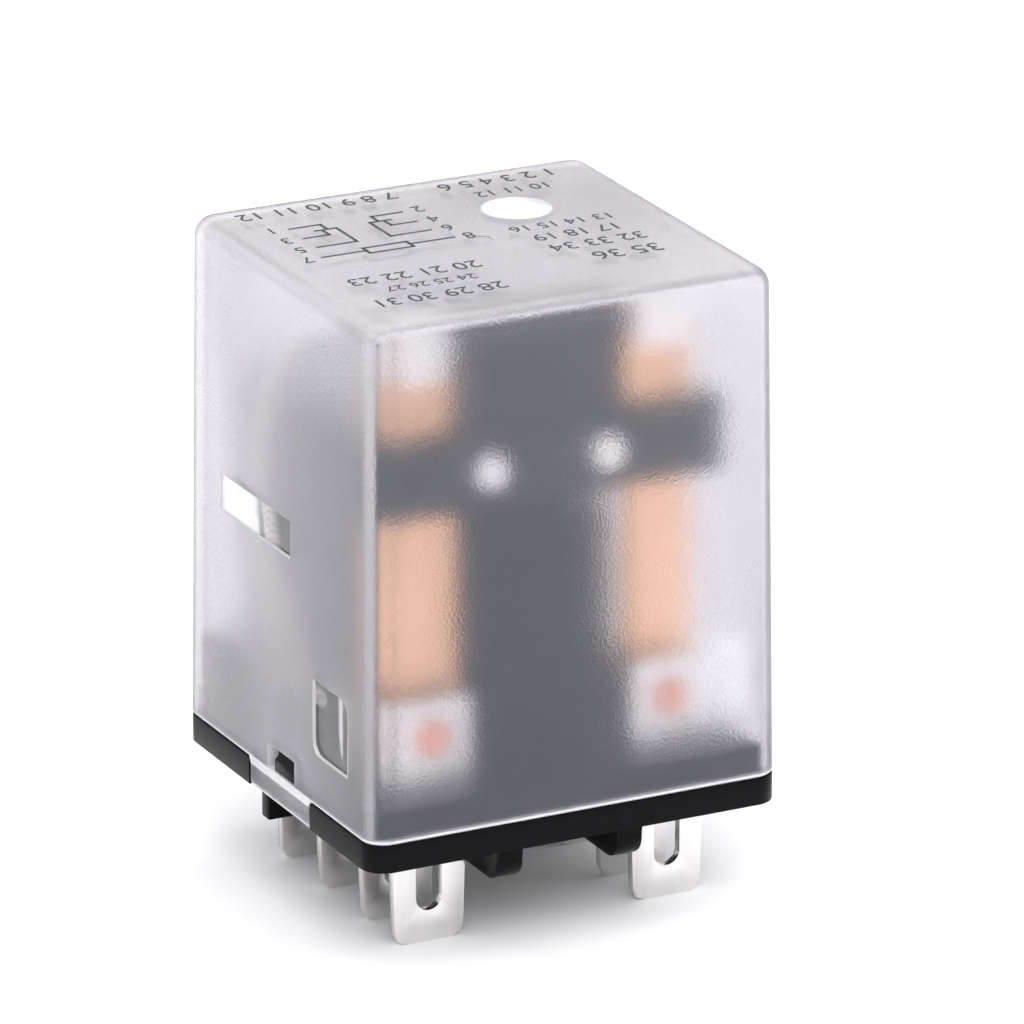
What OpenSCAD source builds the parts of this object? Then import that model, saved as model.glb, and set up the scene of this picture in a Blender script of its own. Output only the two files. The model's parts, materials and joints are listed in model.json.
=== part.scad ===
// Plug-in industrial control relay, two changeover poles, with a vertical coil and a hinged armature.
// Millimetres. The origin is under the centre of the case, level with the tips of the terminal tabs.
// +Z is up, -Y is the contact side and +X is to the right seen from the contact side.

/* [Case] */
// Width of the case, along X
case_w = 38; // [36:0.5:48]
// Depth of the case, along Y
case_d = 36.4; // [36:0.2:46]
// Height of the case, from the seat under the flange to the top of the cover
case_h = 46.8; // [46:0.2:58]
// Radius of the upright corners
corner_r = 2.1; // [1.5:0.1:4]
// Rounding round the top of the cover
top_r = 1.7; // [0.8:0.1:2.2]
// How far each side of the cover leans in over its height
draft = 0.5; // [0:0.1:0.8]
// Wall of the cover
cover_wall = 1.0; // [0.7:0.1:1.2]

/* [Cover features] */
// Width of the tongue that reaches down over each side of the flange
tongue_w = 11.7; // [9:0.1:13]
// Place of the tongue's middle along Y
tongue_y = -0.55; // [-2:0.05:2]
// Distance from the front of the case to the latch window
latch_front = 14.7; // [13:0.1:16]
// Width of the latch window
latch_w = 5.2; // [4.4:0.1:7]
// Height of the latch window
latch_h = 2.2; // [1.8:0.1:3]
// Bottom of the latch window above the seat
latch_z = 2.8; // [2:0.1:3.2]
// Distance from the front of the case to the polished pane beside the contacts
pane_front = 4.6; // [4:0.1:6]
// Bottom of the pane above the seat
pane_z = 7.05; // [6:0.05:10]
// Width of the pane
pane_w = 6.6; // [4:0.1:8]
// Height of the pane
pane_h = 6.55; // [4:0.05:8]
// Radius of the pane's two rounded corners
pane_r = 1.3; // [0.5:0.1:1.8]
// Distance from the front of the case to the polished panel on each side
panel_front = 15.6; // [8:0.1:17]
// Width of the polished panel
panel_w = 13.7; // [8:0.1:16]
// Height of the polished panel
panel_h = 3.3; // [2:0.1:6]
// Bottom of the polished panel above the seat
panel_z = 22.6; // [18:0.1:30]
// Depth of the polished pane, the polished panel and the round mark on top
recess_depth = 0.3; // [0.1:0.05:0.4]
// Diameter of the polished round mark on top
round_mark_d = 6; // [3:0.1:8]
// Place of the round mark along X
round_mark_x = 6.6; // [-10:0.1:10]
// Place of the round mark along Y
round_mark_y = 6.3; // [-10:0.1:10]

/* [Base] */
// Thickness of the flange that the cover stands on
flange_t = 2.4; // [2:0.1:3.5]
// Height of the plinth above the flange
plinth_h = 2.8; // [2.4:0.1:4]
// Depth of the ribs under the base
rib_h = 3.4; // [1:0.1:5]
// Thickness of the two ribs that run front to back
rib_t = 2.4; // [1.2:0.1:3]
// Distance between the middles of those two ribs
rib_gap = 11.1; // [9:0.1:13]
// Thickness of the rib that runs across
cross_rib_t = 1.5; // [1:0.1:2.5]
// Height of the wall at the back, above the plinth
rear_wall_h = 4.8; // [2:0.1:8]
// Width of the barrier between the two contact sets
barrier_w = 14.8; // [12:0.1:15]
// Wall of the barrier
barrier_t = 1.2; // [0.8:0.1:1.6]

/* [Terminals] */
// Width of a terminal tab
tab_w = 6.3; // [4.8:0.1:6.4]
// Thickness of a terminal tab
tab_t = 0.8; // [0.5:0.1:1]
// Length of a tab below the seat
tab_len = 9; // [7:0.1:12]
// Distance between the two columns of tabs
tab_pitch = 22.2; // [22:0.1:24]
// Width of the long hole in a tab
slot_w = 2.4; // [1.6:0.1:2.6]
// Length of the long hole in a tab
slot_len = 5; // [3.5:0.1:5.4]
// Distance from the tab's tip to the long hole
slot_tip = 2.75; // [2:0.05:3.5]
// Height of the contact blades above the seat
blade_h = 13; // [12.4:0.1:14]
// Extra width of the blade's shoulder on each side
shoulder = 0.4; // [0.2:0.05:0.8]

// Distance from the front of the case to the first row of tabs
first_row = 5.83; // [5.7:0.01:6]
// Distance from the first row to the second
second_row = 5.97; // [5.95:0.01:6.2]
// Distance from the first row to the third
third_row = 13.97; // [13.8:0.01:14.2]
// Distance from the first row to the last
last_row = 21.67; // [21.4:0.01:21.9]

/* [Contacts] */
// Diameter of the contact heads
contact_d = 4; // [3:0.1:4.6]
// Height of the contacts above the seat
contact_z = 9.7; // [9:0.1:10]
// Thickness of the fixed contact heads
fixed_head = 0.7; // [0.5:0.05:0.8]
// Thickness of the moving contact heads
moving_head = 0.6; // [0.4:0.05:0.65]
// Diameter of the contact rivets' shanks
shank_d = 2; // [1.5:0.1:2.5]
// Width of a moving spring
spring_w = 6.2; // [4:0.1:6.6]
// Thickness of a moving spring
spring_t = 0.3; // [0.2:0.05:0.4]
// Top of a moving spring, above the seat
spring_top = 41.4; // [40:0.1:42]
// Bottom of the tag behind a spring's top, above the seat
tag_low = 38.6; // [37.5:0.1:39]
// Top of the tag, above the seat
tag_high = 43.8; // [43:0.1:44.2]
// Width of the tag
tag_w = 4.6; // [3:0.1:5]

/* [Armature] */
// Angle that the armature closes by when the coil is energised
travel_deg = 4; // [2:0.1:4]
// Thickness of the armature's plate
armature_t = 2; // [1.6:0.1:2.4]
// Width of the armature's plate over the coil
armature_w = 24; // [20:0.1:25]
// Width of the armature's front leg
leg_w = 15; // [12:0.1:15.4]
// Thickness of the armature's front leg
leg_t = 1.6; // [1.2:0.1:1.8]
// Thickness of the carrier in front of the springs
bar_front_wall = 1.6; // [1.2:0.1:2]
// Thickness of the carrier behind the springs
bar_back_wall = 0.75; // [0.5:0.05:0.9]
// Width of the crossbar
bar_w = 33.2; // [32:0.1:34]
// Height of the crossbar
bar_h = 6.6; // [5:0.1:7]
// Bottom of the crossbar above the seat
bar_z = 28.3; // [27:0.1:29]
// Width of the upright between the springs
upright_w = 15.2; // [12:0.1:15.4]
// Top of the upright, above the seat
upright_top = 44; // [38:0.1:44.4]
// Diameter of the two rivets' heads
rivet_d = 3.3; // [2.4:0.1:4]
// Diameter of the rivets' shanks
rivet_shank_d = 1.8; // [1.2:0.1:2.2]
// Distance between the two rivets
rivet_pitch = 10.8; // [9:0.1:11]

/* [Magnet] */
// Width of the yoke's rear leg
yoke_w = 27; // [20:0.1:28]
// Thickness of the yoke
yoke_t = 2.8; // [2:0.1:3]
// Distance from the back of the case to the yoke's rear face, where the armature hinges
hinge_inset = 3.4; // [3.3:0.1:3.8]
// Height of the yoke's top edge above the seat
yoke_top = 33.3; // [32:0.1:34]
// Width of the bobbin
bobbin_w = 24; // [20:0.1:24.6]
// Depth of the bobbin
bobbin_d = 15; // [12.5:0.1:16]
// Thickness of the bobbin's flanges
bobbin_flange = 1.2; // [0.8:0.1:1.6]
// How far the bobbin's flanges stand out past the winding
flange_proud = 1.2; // [0.9:0.1:1.3]
// Diameter of the core
core_d = 8; // [6:0.1:9]
// Diameter of the core's pole face
pole_d = 11; // [9:0.1:12]
// Thickness of the pole face
pole_t = 1.8; // [1.4:0.1:2.2]
// Diameter of the core's stem through the yoke
stem_d = 5; // [4:0.1:6]
// Diameter of the screw that holds the core
screw_d = 3; // [2.5:0.1:3.5]
// Diameter of the flexible leads
lead_d = 1.6; // [1:0.1:1.8]
// Diameter of the coil's own leads
coil_lead_d = 0.6; // [0.4:0.05:0.8]

/* [Fits] */
// Gap between the cover's inner wall and the plinth
cover_gap = 0.15; // [0.1:0.05:0.3]
// Gap on each side of a blade or a spring in its slot
slot_gap = 0.05; // [0.03:0.01:0.1]
// Gap between the faces of a closed contact, and over the hinge edge
rest_gap = 0.04; // [0.02:0.01:0.06]
// Radial gap round shafts in their bores
bore_gap = 0.05; // [0.03:0.01:0.1]

/* [Hidden] */
$fn = 48;
eps = 0.01;
LEFT = -1;
RIGHT = 1;

// Levels, all from the tips of the tabs.
seat_z = tab_len;
seam_z = seat_z + flange_t;
floor_z = seam_z + plinth_h;
cover_top_z = seat_z + case_h;
contact_level = seat_z + contact_z;
blade_top_z = seat_z + blade_h;
bar_bottom_z = seat_z + bar_z;
bar_top_z = bar_bottom_z + bar_h;
pole_z = seat_z + yoke_top;

// Plan of the plinth, and of the room inside the cover at its top.
plinth_w = case_w - 2 * (cover_wall + cover_gap);
plinth_d = case_d - 2 * (cover_wall + cover_gap);
plinth_r = corner_r - cover_wall - cover_gap;

// Stack of the contact set, from the front wall of the case backwards.
nc_y = -case_d / 2 + first_row;
nc_contact_back = nc_y + tab_t / 2 + fixed_head;
spring_front = nc_contact_back + rest_gap + moving_head;
spring_back = spring_front + spring_t;
spring_y = (spring_front + spring_back) / 2;
no_y = nc_y + second_row;
com_y = nc_y + third_row;
coil_y = nc_y + last_row;
rivet_tail = 0.5;

// The carrier stands round the springs, and the armature's front leg is behind it.
bar_front = spring_front - bar_front_wall;
bar_back = spring_back + bar_back_wall;
leg_front = bar_back;
leg_back = leg_front + leg_t;
leg_bottom_z = bar_bottom_z + 0.4;

// The magnet.
hinge_y = case_d / 2 - hinge_inset;
hinge_z = pole_z + rest_gap;
yoke_front = hinge_y - yoke_t;
yoke_foot_w = 2 * (tab_pitch / 2 - tab_w / 2 - shoulder - 0.4);
bobbin_front = no_y + tab_t / 2 + rivet_tail + 0.3;
bobbin_y = bobbin_front + bobbin_d / 2;
bobbin_bottom_z = floor_z + yoke_t + 0.1;
shank_top_z = pole_z - pole_t;
bobbin_top_z = shank_top_z - 0.1;
winding_w = bobbin_w - 2 * flange_proud;
winding_d = bobbin_d - 2 * flange_proud;
// The bobbin's tube takes under half of the room between the core and the front of the winding.
winding_room = (winding_d - core_d - 2 * bore_gap) / 2;
bobbin_wall = winding_room * 4 / 9;
bobbin_tube_d = core_d + 2 * bore_gap + 2 * bobbin_wall;
tape_t = 0.5;
leg_top_z = hinge_z + (hinge_y - leg_back) * tan(travel_deg) + armature_t * cos(travel_deg);
return_coil_d = 1.6;
return_wire_d = 0.3;
hook_z = pole_z - 13.2;

// The screw's head, how deep it sits in the base, and how far the screw reaches above the floor.
head_d = 2 * screw_d - 0.4;
head_recess = 2;
screw_reach = 5.5;

// Height between the bobbin's flanges, less a little at both ends.
winding_z = bobbin_bottom_z + bobbin_flange + 0.1;
winding_h = bobbin_top_z - bobbin_bottom_z - 2 * bobbin_flange - 0.2;

// Inner ends of the common and coil terminals: a low blade with an ear for its lead.
low_blade_h = 2.2;
ear_h = 0.2;
ear_w = 1.9;

// Where the moving contact's back face is when the armature is closed, and the fixed head it meets.
contact_drop = hinge_z - contact_level + contact_d / 2;
contact_reach = hinge_y - spring_back - moving_head;
closed_y = hinge_y - contact_reach * cos(travel_deg) + contact_drop * sin(travel_deg);
no_head = no_y - tab_t / 2 - closed_y - rest_gap;

// How far the front of the crossbar comes down as the armature closes.
bar_drop = (hinge_y - bar_front) * sin(travel_deg);

// Routes of the leads on the left side, from the terminal's ear up to the spring and to the winding.
flexible_route = [
  [-13.0, 0.2, 18.2], [-13.0, 1.8, 18.4], [-13.2, 3.4, 19.1], [-13.8, 5.0, 21.0], [-14.4, 6.1, 23.6],
  [-14.8, 6.8, 26.4], [-15.0, 7.5, 29.8], [-15.0, 8.1, 33.4], [-15.0, 8.2, 37.2], [-15.0, 7.2, 41.4],
  [-15.0, 5.0, 45.2], [-14.8, 1.8, 48.4], [-14.2, -2.0, 50.6], [-13.3, -5.4, 51.8], [-12.5, -7.6, 52.1],
  [-12.0, -8.8, 51.6], [-11.8, -9.1, 50.4], [-11.8, -9.1, 49.0]
];
coil_route = [
  [-13.4, 8.6, 16.9], [-13.3, 8.6, 17.9], [-13.1, 8.3, 18.9], [-12.6, 7.6, 19.8], [-12.1, 6.4, 20.4],
  [-11.7, 5.0, 20.8], [-11.7, 3.6, 21.0]
];

// ---- Plain shapes -------------------------------------------------------------------------------

// Flat rectangle with round corners, centred on the origin.
module round_rect(w, d, r) {
  square([w - 2 * r, d], center = true);
  square([w, d - 2 * r], center = true);
  for (x = [-1, 1]) {
    for (y = [-1, 1]) {
      translate([x * (w / 2 - r), y * (d / 2 - r)]) circle(r);
    }
  }
}

// Upright block with round corners.
module round_block(w, d, h, r) {
  linear_extrude(h) round_rect(w, d, r);
}

// Block given by its lowest corner and its highest corner.
module span(low, high) {
  translate(low) cube(high - low);
}

// Shell shape of the cover: round upright corners, leaning sides and a rounded top.
module case_form(w, d, h, r, edge, lean) {
  hull() {
    linear_extrude(eps) round_rect(w, d, r);
    for (x = [-1, 1]) {
      for (y = [-1, 1]) {
        translate([x * (w / 2 - lean - edge), y * (d / 2 - lean - edge), h - edge])
          sphere(edge, $fn = 32);
      }
    }
  }
}

// Disc along +Y, from its middle on the near face.
module disc_y(d, t) {
  rotate([-90, 0, 0]) cylinder(d = d, h = t);
}

// Puts a piece of the left side on the side asked for.
module on_side(side) {
  if (side == LEFT) {
    children();
  } else {
    mirror([1, 0, 0]) children();
  }
}

// ---- Swept tube ---------------------------------------------------------------------------------

function unit(v) = v / norm(v);
function along(route, i) = unit(route[min(i + 1, len(route) - 1)] - route[max(i - 1, 0)]);
// A side direction that never lies along the route, carried from ring to ring.
function side_at(route, i) = i == 0
  ? unit(cross(along(route, 0), [0.31, 0.95, 0.05]))
  : let (before = side_at(route, i - 1), t = along(route, i)) unit(before - (before * t) * t);
function ring(route, i, d, sides) = let (t = along(route, i), u = side_at(route, i), v = cross(t, u))
  [for (k = [0:sides - 1]) route[i] + d / 2 * (cos(360 * k / sides) * u + sin(360 * k / sides) * v)];

// Closed tube along a route of points.
module tube(route, d, sides = 8) {
  rings = len(route);
  points = [for (i = [0:rings - 1]) each ring(route, i, d, sides)];
  walls = [
    for (i = [0:rings - 2])
      for (k = [0:sides - 1])
        let (a = i * sides + k, b = i * sides + (k + 1) % sides)
          each [[a, a + sides, b], [b, a + sides, b + sides]]
  ];
  first = [[for (k = [0:sides - 1]) k]];
  last = [[for (k = [sides - 1:-1:0]) (rings - 1) * sides + k]];
  polyhedron(points, concat(walls, first, last));
}

// ---- Case ---------------------------------------------------------------------------------------

// Outline of the polished pane, with its front top corner and its back bottom corner round.
module pane_outline() {
  polygon([
    [0, 0], [pane_w - pane_r, 0], [pane_w, pane_r], [pane_w, pane_h], [pane_r, pane_h], [0, pane_h - pane_r]
  ]);
  translate([pane_r, pane_h - pane_r]) circle(pane_r);
  translate([pane_w - pane_r, pane_r]) circle(pane_r);
}

// How far the wall leans in at a height above the seat.
function lean_at(z) = draft * (z - flange_t) / (case_h - flange_t);

// Everything cut through or into the left wall of the cover.
module side_cuts() {
  front = -case_d / 2;
  outside = -case_w / 2 - 1;
  through = 1 + 2 * cover_wall + draft;
  pane_floor = lean_at(pane_z + pane_h / 2) + recess_depth;
  panel_floor = lean_at(panel_z + panel_h / 2) + recess_depth;
  span([outside, front + latch_front, seat_z + latch_z],
       [outside + through, front + latch_front + latch_w, seat_z + latch_z + latch_h]);
  translate([outside, front + pane_front, seat_z + pane_z])
    rotate([90, 0, 90]) linear_extrude(1 + pane_floor) pane_outline();
  span([outside, front + panel_front, seat_z + panel_z],
       [-case_w / 2 + panel_floor, front + panel_front + panel_w, seat_z + panel_z + panel_h]);
}

module cover() {
  inner_w = case_w - 2 * cover_wall;
  inner_d = case_d - 2 * cover_wall;
  color("gainsboro", 0.6) difference() {
    union() {
      translate([0, 0, seam_z])
        case_form(case_w, case_d, case_h - flange_t, corner_r, top_r, draft);
      for (x = [-1, 1]) {
        translate([x * (case_w - cover_wall) / 2, tongue_y, seat_z + 0.2 + flange_t / 2])
          cube([cover_wall, tongue_w, flange_t + 0.4], center = true);
      }
    }
    translate([0, 0, seam_z - eps])
      case_form(inner_w, inner_d, case_h - flange_t - cover_wall, corner_r - cover_wall,
                top_r - cover_wall / 2, draft);
    for (side = [LEFT, RIGHT]) {
      on_side(side) side_cuts();
    }
    translate([round_mark_x, round_mark_y, cover_top_z - recess_depth]) cylinder(d = round_mark_d, h = 1);
  }
}

// Slots in the base, one for each terminal.
module terminal_slots() {
  for (y = [nc_y, no_y, com_y, coil_y]) {
    for (x = [-1, 1]) {
      translate([x * tab_pitch / 2, y, seat_z])
        cube([tab_w + 2 * slot_gap, tab_t + 2 * slot_gap, 20], center = true);
    }
  }
}

// Snap lug on the left side: flat below, sloped above, seen through the latch window.
module snap_lug() {
  lug_w = latch_w - 1.5;
  lug_front = -case_d / 2 + latch_front + 0.3;
  lug_h = latch_h - 0.3;
  root = 0.5;
  reach = cover_wall + cover_gap - 0.1;
  translate([-plinth_w / 2, lug_front + lug_w, seat_z + latch_z + 0.1])
    rotate([90, 0, 0]) linear_extrude(lug_w)
      polygon([[root, 0], [-reach, 0], [-reach, lug_h * 0.35], [0, lug_h], [root, lug_h]]);
}

// Rib under the base with a rounded front lower corner, running back from its front end.
module long_rib() {
  length = case_d - 6;
  round_r = 2;
  rotate([90, 0, 90]) translate([0, 0, -rib_t / 2]) linear_extrude(rib_t) {
    translate([round_r, -rib_h]) square([length - round_r, rib_h + eps]);
    translate([0, -rib_h + round_r]) square([length, rib_h - round_r + eps]);
    translate([round_r, -rib_h + round_r]) circle(round_r);
  }
}

// Thin barrier between the poles: two sides and a front, open to the coil.
module barrier() {
  front = spring_back + 0.9;
  top = bar_bottom_z - bar_drop - 0.4;
  inner = barrier_w / 2 - barrier_t;
  difference() {
    span([-barrier_w / 2, front, floor_z - eps], [barrier_w / 2, bobbin_front - 0.3, top]);
    span([-inner, front + barrier_t, floor_z], [inner, bobbin_front, top + 1]);
  }
}

module base() {
  color("#232527") difference() {
    union() {
      translate([0, 0, seat_z]) round_block(case_w, case_d, flange_t, corner_r);
      translate([0, 0, seat_z]) round_block(plinth_w, plinth_d, flange_t + plinth_h, plinth_r);
      for (side = [LEFT, RIGHT]) {
        on_side(side) snap_lug();
        translate([side * rib_gap / 2, -case_d / 2 + 1.4, seat_z]) long_rib();
      }
      translate([0, (com_y + coil_y) / 2, seat_z - rib_h / 2])
        cube([case_w - 3, cross_rib_t, rib_h], center = true);
      span([-plinth_w / 2 + 0.6, hinge_y + 0.2, floor_z - eps],
           [plinth_w / 2 - 0.6, plinth_d / 2 - 0.3, floor_z + rear_wall_h]);
      barrier();
    }
    terminal_slots();
    for (x = [-1, 1]) {
      translate([x * case_w / 2, tongue_y, seat_z + flange_t / 2])
        cube([2 * (cover_wall + cover_gap), tongue_w + 2 * slot_gap, flange_t + 1], center = true);
    }
    translate([0, bobbin_y, seat_z - rib_h - 1]) cylinder(d = head_d + 0.8, h = rib_h + 1 + head_recess);
    translate([0, bobbin_y, seat_z]) cylinder(d = screw_d + 2 * bore_gap + 0.3, h = 12);
  }
}

// ---- Terminals ----------------------------------------------------------------------------------

// Tab below the base with a long hole and cut corners, and the blade that rises inside to a given height.
module blade(top_z, inner_w) {
  cut = 1.1;
  hole_z = slot_tip + slot_w / 2;
  rotate([90, 0, 0]) translate([0, 0, -tab_t / 2]) linear_extrude(tab_t) difference() {
    union() {
      polygon([
        [-tab_w / 2 + cut, 0], [tab_w / 2 - cut, 0], [tab_w / 2, cut], [tab_w / 2, floor_z],
        [-tab_w / 2, floor_z], [-tab_w / 2, cut]
      ]);
      translate([-inner_w / 2, floor_z]) square([inner_w, top_z - floor_z]);
    }
    translate([0, hole_z]) circle(d = slot_w);
    translate([0, hole_z + slot_len - slot_w]) circle(d = slot_w);
    translate([-slot_w / 2, hole_z]) square([slot_w, slot_len - slot_w]);
  }
}

// Contact blade with a bore for its contact.
module contact_blade(side, y) {
  color("silver") translate([side * tab_pitch / 2, y, 0]) difference() {
    blade(blade_top_z, tab_w + 2 * shoulder);
    translate([0, -tab_t, contact_level]) disc_y(shank_d + 2 * bore_gap, 2 * tab_t);
  }
}

module nc_terminal(side) { contact_blade(side, nc_y); }

module no_terminal(side) { contact_blade(side, no_y); }

// Low blade with an ear at its outer end, where a lead is soldered.
module low_blade(side, y, ear_top) {
  inner_w = tab_w + 2 * shoulder;
  color("silver") on_side(side) translate([-tab_pitch / 2, y, 0]) {
    blade(floor_z + low_blade_h, inner_w);
    span(
      [-inner_w / 2, -tab_t / 2, floor_z + low_blade_h - eps],
      [ear_w - inner_w / 2, tab_t / 2, ear_top]
    );
  }
}

module com_terminal(side) { low_blade(side, com_y, flexible_route[0].z - lead_d / 2 - 0.02); }

module coil_terminal(side) { low_blade(side, coil_y, floor_z + low_blade_h + 1.4); }

// ---- Contacts -----------------------------------------------------------------------------------

// Fixed contact: a head on the spring's side, a shank and a domed tail on the other side.
module nc_contact(side) {
  color("#d9c7ba") translate([side * tab_pitch / 2, 0, contact_level]) {
    translate([0, nc_y + tab_t / 2, 0]) disc_y(contact_d, fixed_head);
    translate([0, nc_y - tab_t / 2 - eps, 0]) disc_y(shank_d, tab_t + 2 * eps);
    translate([0, nc_y - tab_t / 2 - rivet_tail, 0]) disc_y(shank_d + 1.2, rivet_tail);
  }
}

module no_contact(side) {
  color("#d9c7ba") translate([side * tab_pitch / 2, 0, contact_level]) {
    translate([0, no_y - tab_t / 2 - no_head, 0]) disc_y(contact_d, no_head);
    translate([0, no_y - tab_t / 2 - eps, 0]) disc_y(shank_d, tab_t + 2 * eps);
    translate([0, no_y + tab_t / 2, 0]) disc_y(shank_d + 1.2, rivet_tail);
  }
}

// Flat spring from its contact up through the crossbar to the lead's tag.
module moving_spring(side) {
  tip_z = contact_level - contact_d / 2 - 0.4;
  tip_cut = 1.2;
  color("#d98f5e") translate([side * tab_pitch / 2, 0, 0]) difference() {
    union() {
      span(
        [-spring_w / 2, spring_front, tip_z + tip_cut],
        [spring_w / 2, spring_back, seat_z + spring_top]
      );
      span([-spring_w / 2 + tip_cut, spring_front, tip_z],
           [spring_w / 2 - tip_cut, spring_back, tip_z + tip_cut + eps]);
    }
    translate([0, spring_front - 1, contact_level]) disc_y(shank_d + 2 * bore_gap, spring_t + 2);
  }
}

// Double-faced moving contact, riveted through the spring's tip.
module moving_contact(side) {
  color("#e4e2dc") translate([side * tab_pitch / 2, 0, contact_level]) {
    translate([0, spring_front - moving_head, 0]) disc_y(contact_d, moving_head);
    translate([0, spring_front - eps, 0]) disc_y(shank_d, spring_t + 2 * eps);
    translate([0, spring_back, 0]) disc_y(contact_d, moving_head);
  }
}

// Tinned tag behind the spring's top end, folded over it and down its front.
module lead_tag(side) {
  tag_t = 0.4;
  fold = 0.8;
  flap_h = 4.2;
  high = seat_z + tag_high;
  color("whitesmoke") translate([side * tab_pitch / 2, 0, 0]) {
    span([-tag_w / 2, spring_back, seat_z + tag_low], [tag_w / 2, spring_back + tag_t, high]);
    span([-tag_w / 2, spring_front - fold, high - tag_t], [tag_w / 2, spring_back + tag_t, high]);
    span([-tag_w / 2, spring_front - fold, high - flap_h], [tag_w / 2, spring_front - fold + tag_t, high]);
  }
}

// ---- Armature -----------------------------------------------------------------------------------

// Black moulding: a crossbar that grips both springs, and an upright between them.
module carrier() {
  step_back = 0.6;
  color("#1e2022") difference() {
    union() {
      span([-bar_w / 2, bar_front, bar_bottom_z], [bar_w / 2, bar_back, bar_top_z]);
      span(
        [-upright_w / 2, bar_front + step_back, bar_bottom_z],
        [upright_w / 2, bar_back, seat_z + upright_top]
      );
    }
    for (side = [LEFT, RIGHT]) {
      translate([side * tab_pitch / 2, spring_y, bar_bottom_z])
        cube([spring_w + 2 * slot_gap, spring_t + 2 * slot_gap, 4 * bar_h], center = true);
      translate([side * rivet_pitch / 2, bar_front - 1, bar_bottom_z + bar_h / 2])
        disc_y(rivet_shank_d + 2 * bore_gap, 10);
    }
  }
}

// Two domed rivets that hold the carrier on the armature's front leg.
module carrier_rivets() {
  head_h = 1;
  dome_r = (head_h * head_h + rivet_d * rivet_d / 4) / (2 * head_h);
  color("gainsboro") for (side = [LEFT, RIGHT]) {
    translate([side * rivet_pitch / 2, bar_front, bar_bottom_z + bar_h / 2]) {
      intersection() {
        translate([0, dome_r - head_h, 0]) sphere(dome_r);
        translate([0, -2 * head_h, 0]) disc_y(rivet_d, 2 * head_h);
      }
      translate([0, -eps, 0]) disc_y(rivet_shank_d, leg_back - bar_front + 2 * eps);
      translate([0, leg_back - bar_front, 0]) disc_y(rivet_shank_d + 1, 0.5);
    }
  }
}

// Bent iron plate: it rests on the yoke's top edge, reaches over the core and turns down at the front.
module armature() {
  plate_len = (hinge_y - leg_back) / cos(travel_deg) + leg_t / 2;
  neck_len = 4;
  tail_w = 5;
  tail_len = 1.5;
  tail_step = 0.6;
  color("#7d8085") difference() {
    union() {
      translate([0, hinge_y, hinge_z]) rotate([-travel_deg, 0, 0]) {
        linear_extrude(armature_t) polygon([
          [-armature_w / 2, 0], [-armature_w / 2, neck_len - plate_len], [-leg_w / 2, -plate_len],
          [leg_w / 2, -plate_len], [armature_w / 2, neck_len - plate_len], [armature_w / 2, 0]
        ]);
        span([-tail_w / 2, -1, tail_step], [tail_w / 2, tail_len, armature_t]);
      }
      span([-leg_w / 2, leg_front, leg_bottom_z], [leg_w / 2, leg_back, leg_top_z]);
    }
    for (side = [LEFT, RIGHT]) {
      translate([side * rivet_pitch / 2, leg_front - 1, bar_bottom_z + bar_h / 2])
        disc_y(rivet_shank_d + 2 * bore_gap, leg_t + 2);
    }
  }
}

// ---- Magnet -------------------------------------------------------------------------------------

module yoke() {
  wide_z = floor_z + 6;
  hook = [2.4, 1.6, 1];
  color("#54575b") difference() {
    union() {
      span([-yoke_foot_w / 2, bobbin_front, floor_z], [yoke_foot_w / 2, hinge_y, floor_z + yoke_t]);
      span([-yoke_foot_w / 2, yoke_front, floor_z], [yoke_foot_w / 2, hinge_y, wide_z + eps]);
      span([-yoke_w / 2, yoke_front, wide_z], [yoke_w / 2, hinge_y, pole_z]);
      span([-hook.x / 2, hinge_y - eps, hook_z - hook.z], [hook.x / 2, hinge_y + hook.y, hook_z]);
    }
    translate([0, bobbin_y, floor_z - 1]) cylinder(d = stem_d + 2 * bore_gap, h = yoke_t + 2);
  }
}

// Round core with a wide pole face, a ring groove round half of it and a stem through the yoke.
module core() {
  color("#8d9094") difference() {
    union() {
      translate([0, bobbin_y, floor_z + yoke_t])
        cylinder(d = core_d, h = shank_top_z - floor_z - yoke_t + eps);
      translate([0, bobbin_y, shank_top_z]) cylinder(d = pole_d, h = pole_t);
      translate([0, bobbin_y, floor_z + 0.05]) cylinder(d = stem_d, h = yoke_t);
    }
    translate([0, bobbin_y, floor_z]) cylinder(d = screw_d + 2 * bore_gap, h = screw_reach + 1);
    ring_groove(0);
  }
}

// Plan of the shading ring: a D round the rear half of the pole face.
module ring_groove(gap) {
  depth = 1;
  ring_t = 1.1;
  front = 0.6;
  outer = pole_d / 2 - 0.9 + gap;
  inner = outer - ring_t - 2 * gap;
  translate([0, bobbin_y, pole_z - depth]) linear_extrude(depth + 1) difference() {
    intersection() {
      circle(outer);
      translate([-pole_d, front - gap]) square([2 * pole_d, pole_d]);
    }
    intersection() {
      circle(inner);
      translate([-pole_d, front + ring_t + gap]) square([2 * pole_d, pole_d]);
    }
  }
}

module shading_ring() {
  color("#b5673a") intersection() {
    ring_groove(-slot_gap);
    span([-pole_d, bobbin_y - pole_d, pole_z - 0.95], [pole_d, bobbin_y + pole_d, pole_z - 0.05]);
  }
}

module bobbin() {
  tube_h = bobbin_top_z - bobbin_bottom_z;
  color("#2b2d30") translate([0, bobbin_y, bobbin_bottom_z]) difference() {
    union() {
      round_block(bobbin_w, bobbin_d, bobbin_flange, 2);
      translate([0, 0, tube_h - bobbin_flange]) round_block(bobbin_w, bobbin_d, bobbin_flange, 2);
      cylinder(d = bobbin_tube_d, h = tube_h);
    }
    translate([0, 0, -1]) cylinder(d = core_d + 2 * bore_gap, h = tube_h + 2);
  }
}

module coil_winding() {
  color("#9c4f24") translate([0, bobbin_y, winding_z]) difference() {
    round_block(winding_w, winding_d, winding_h, 3.2);
    translate([0, 0, -1]) cylinder(d = bobbin_tube_d + 0.1, h = winding_h + 2);
  }
}

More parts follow.
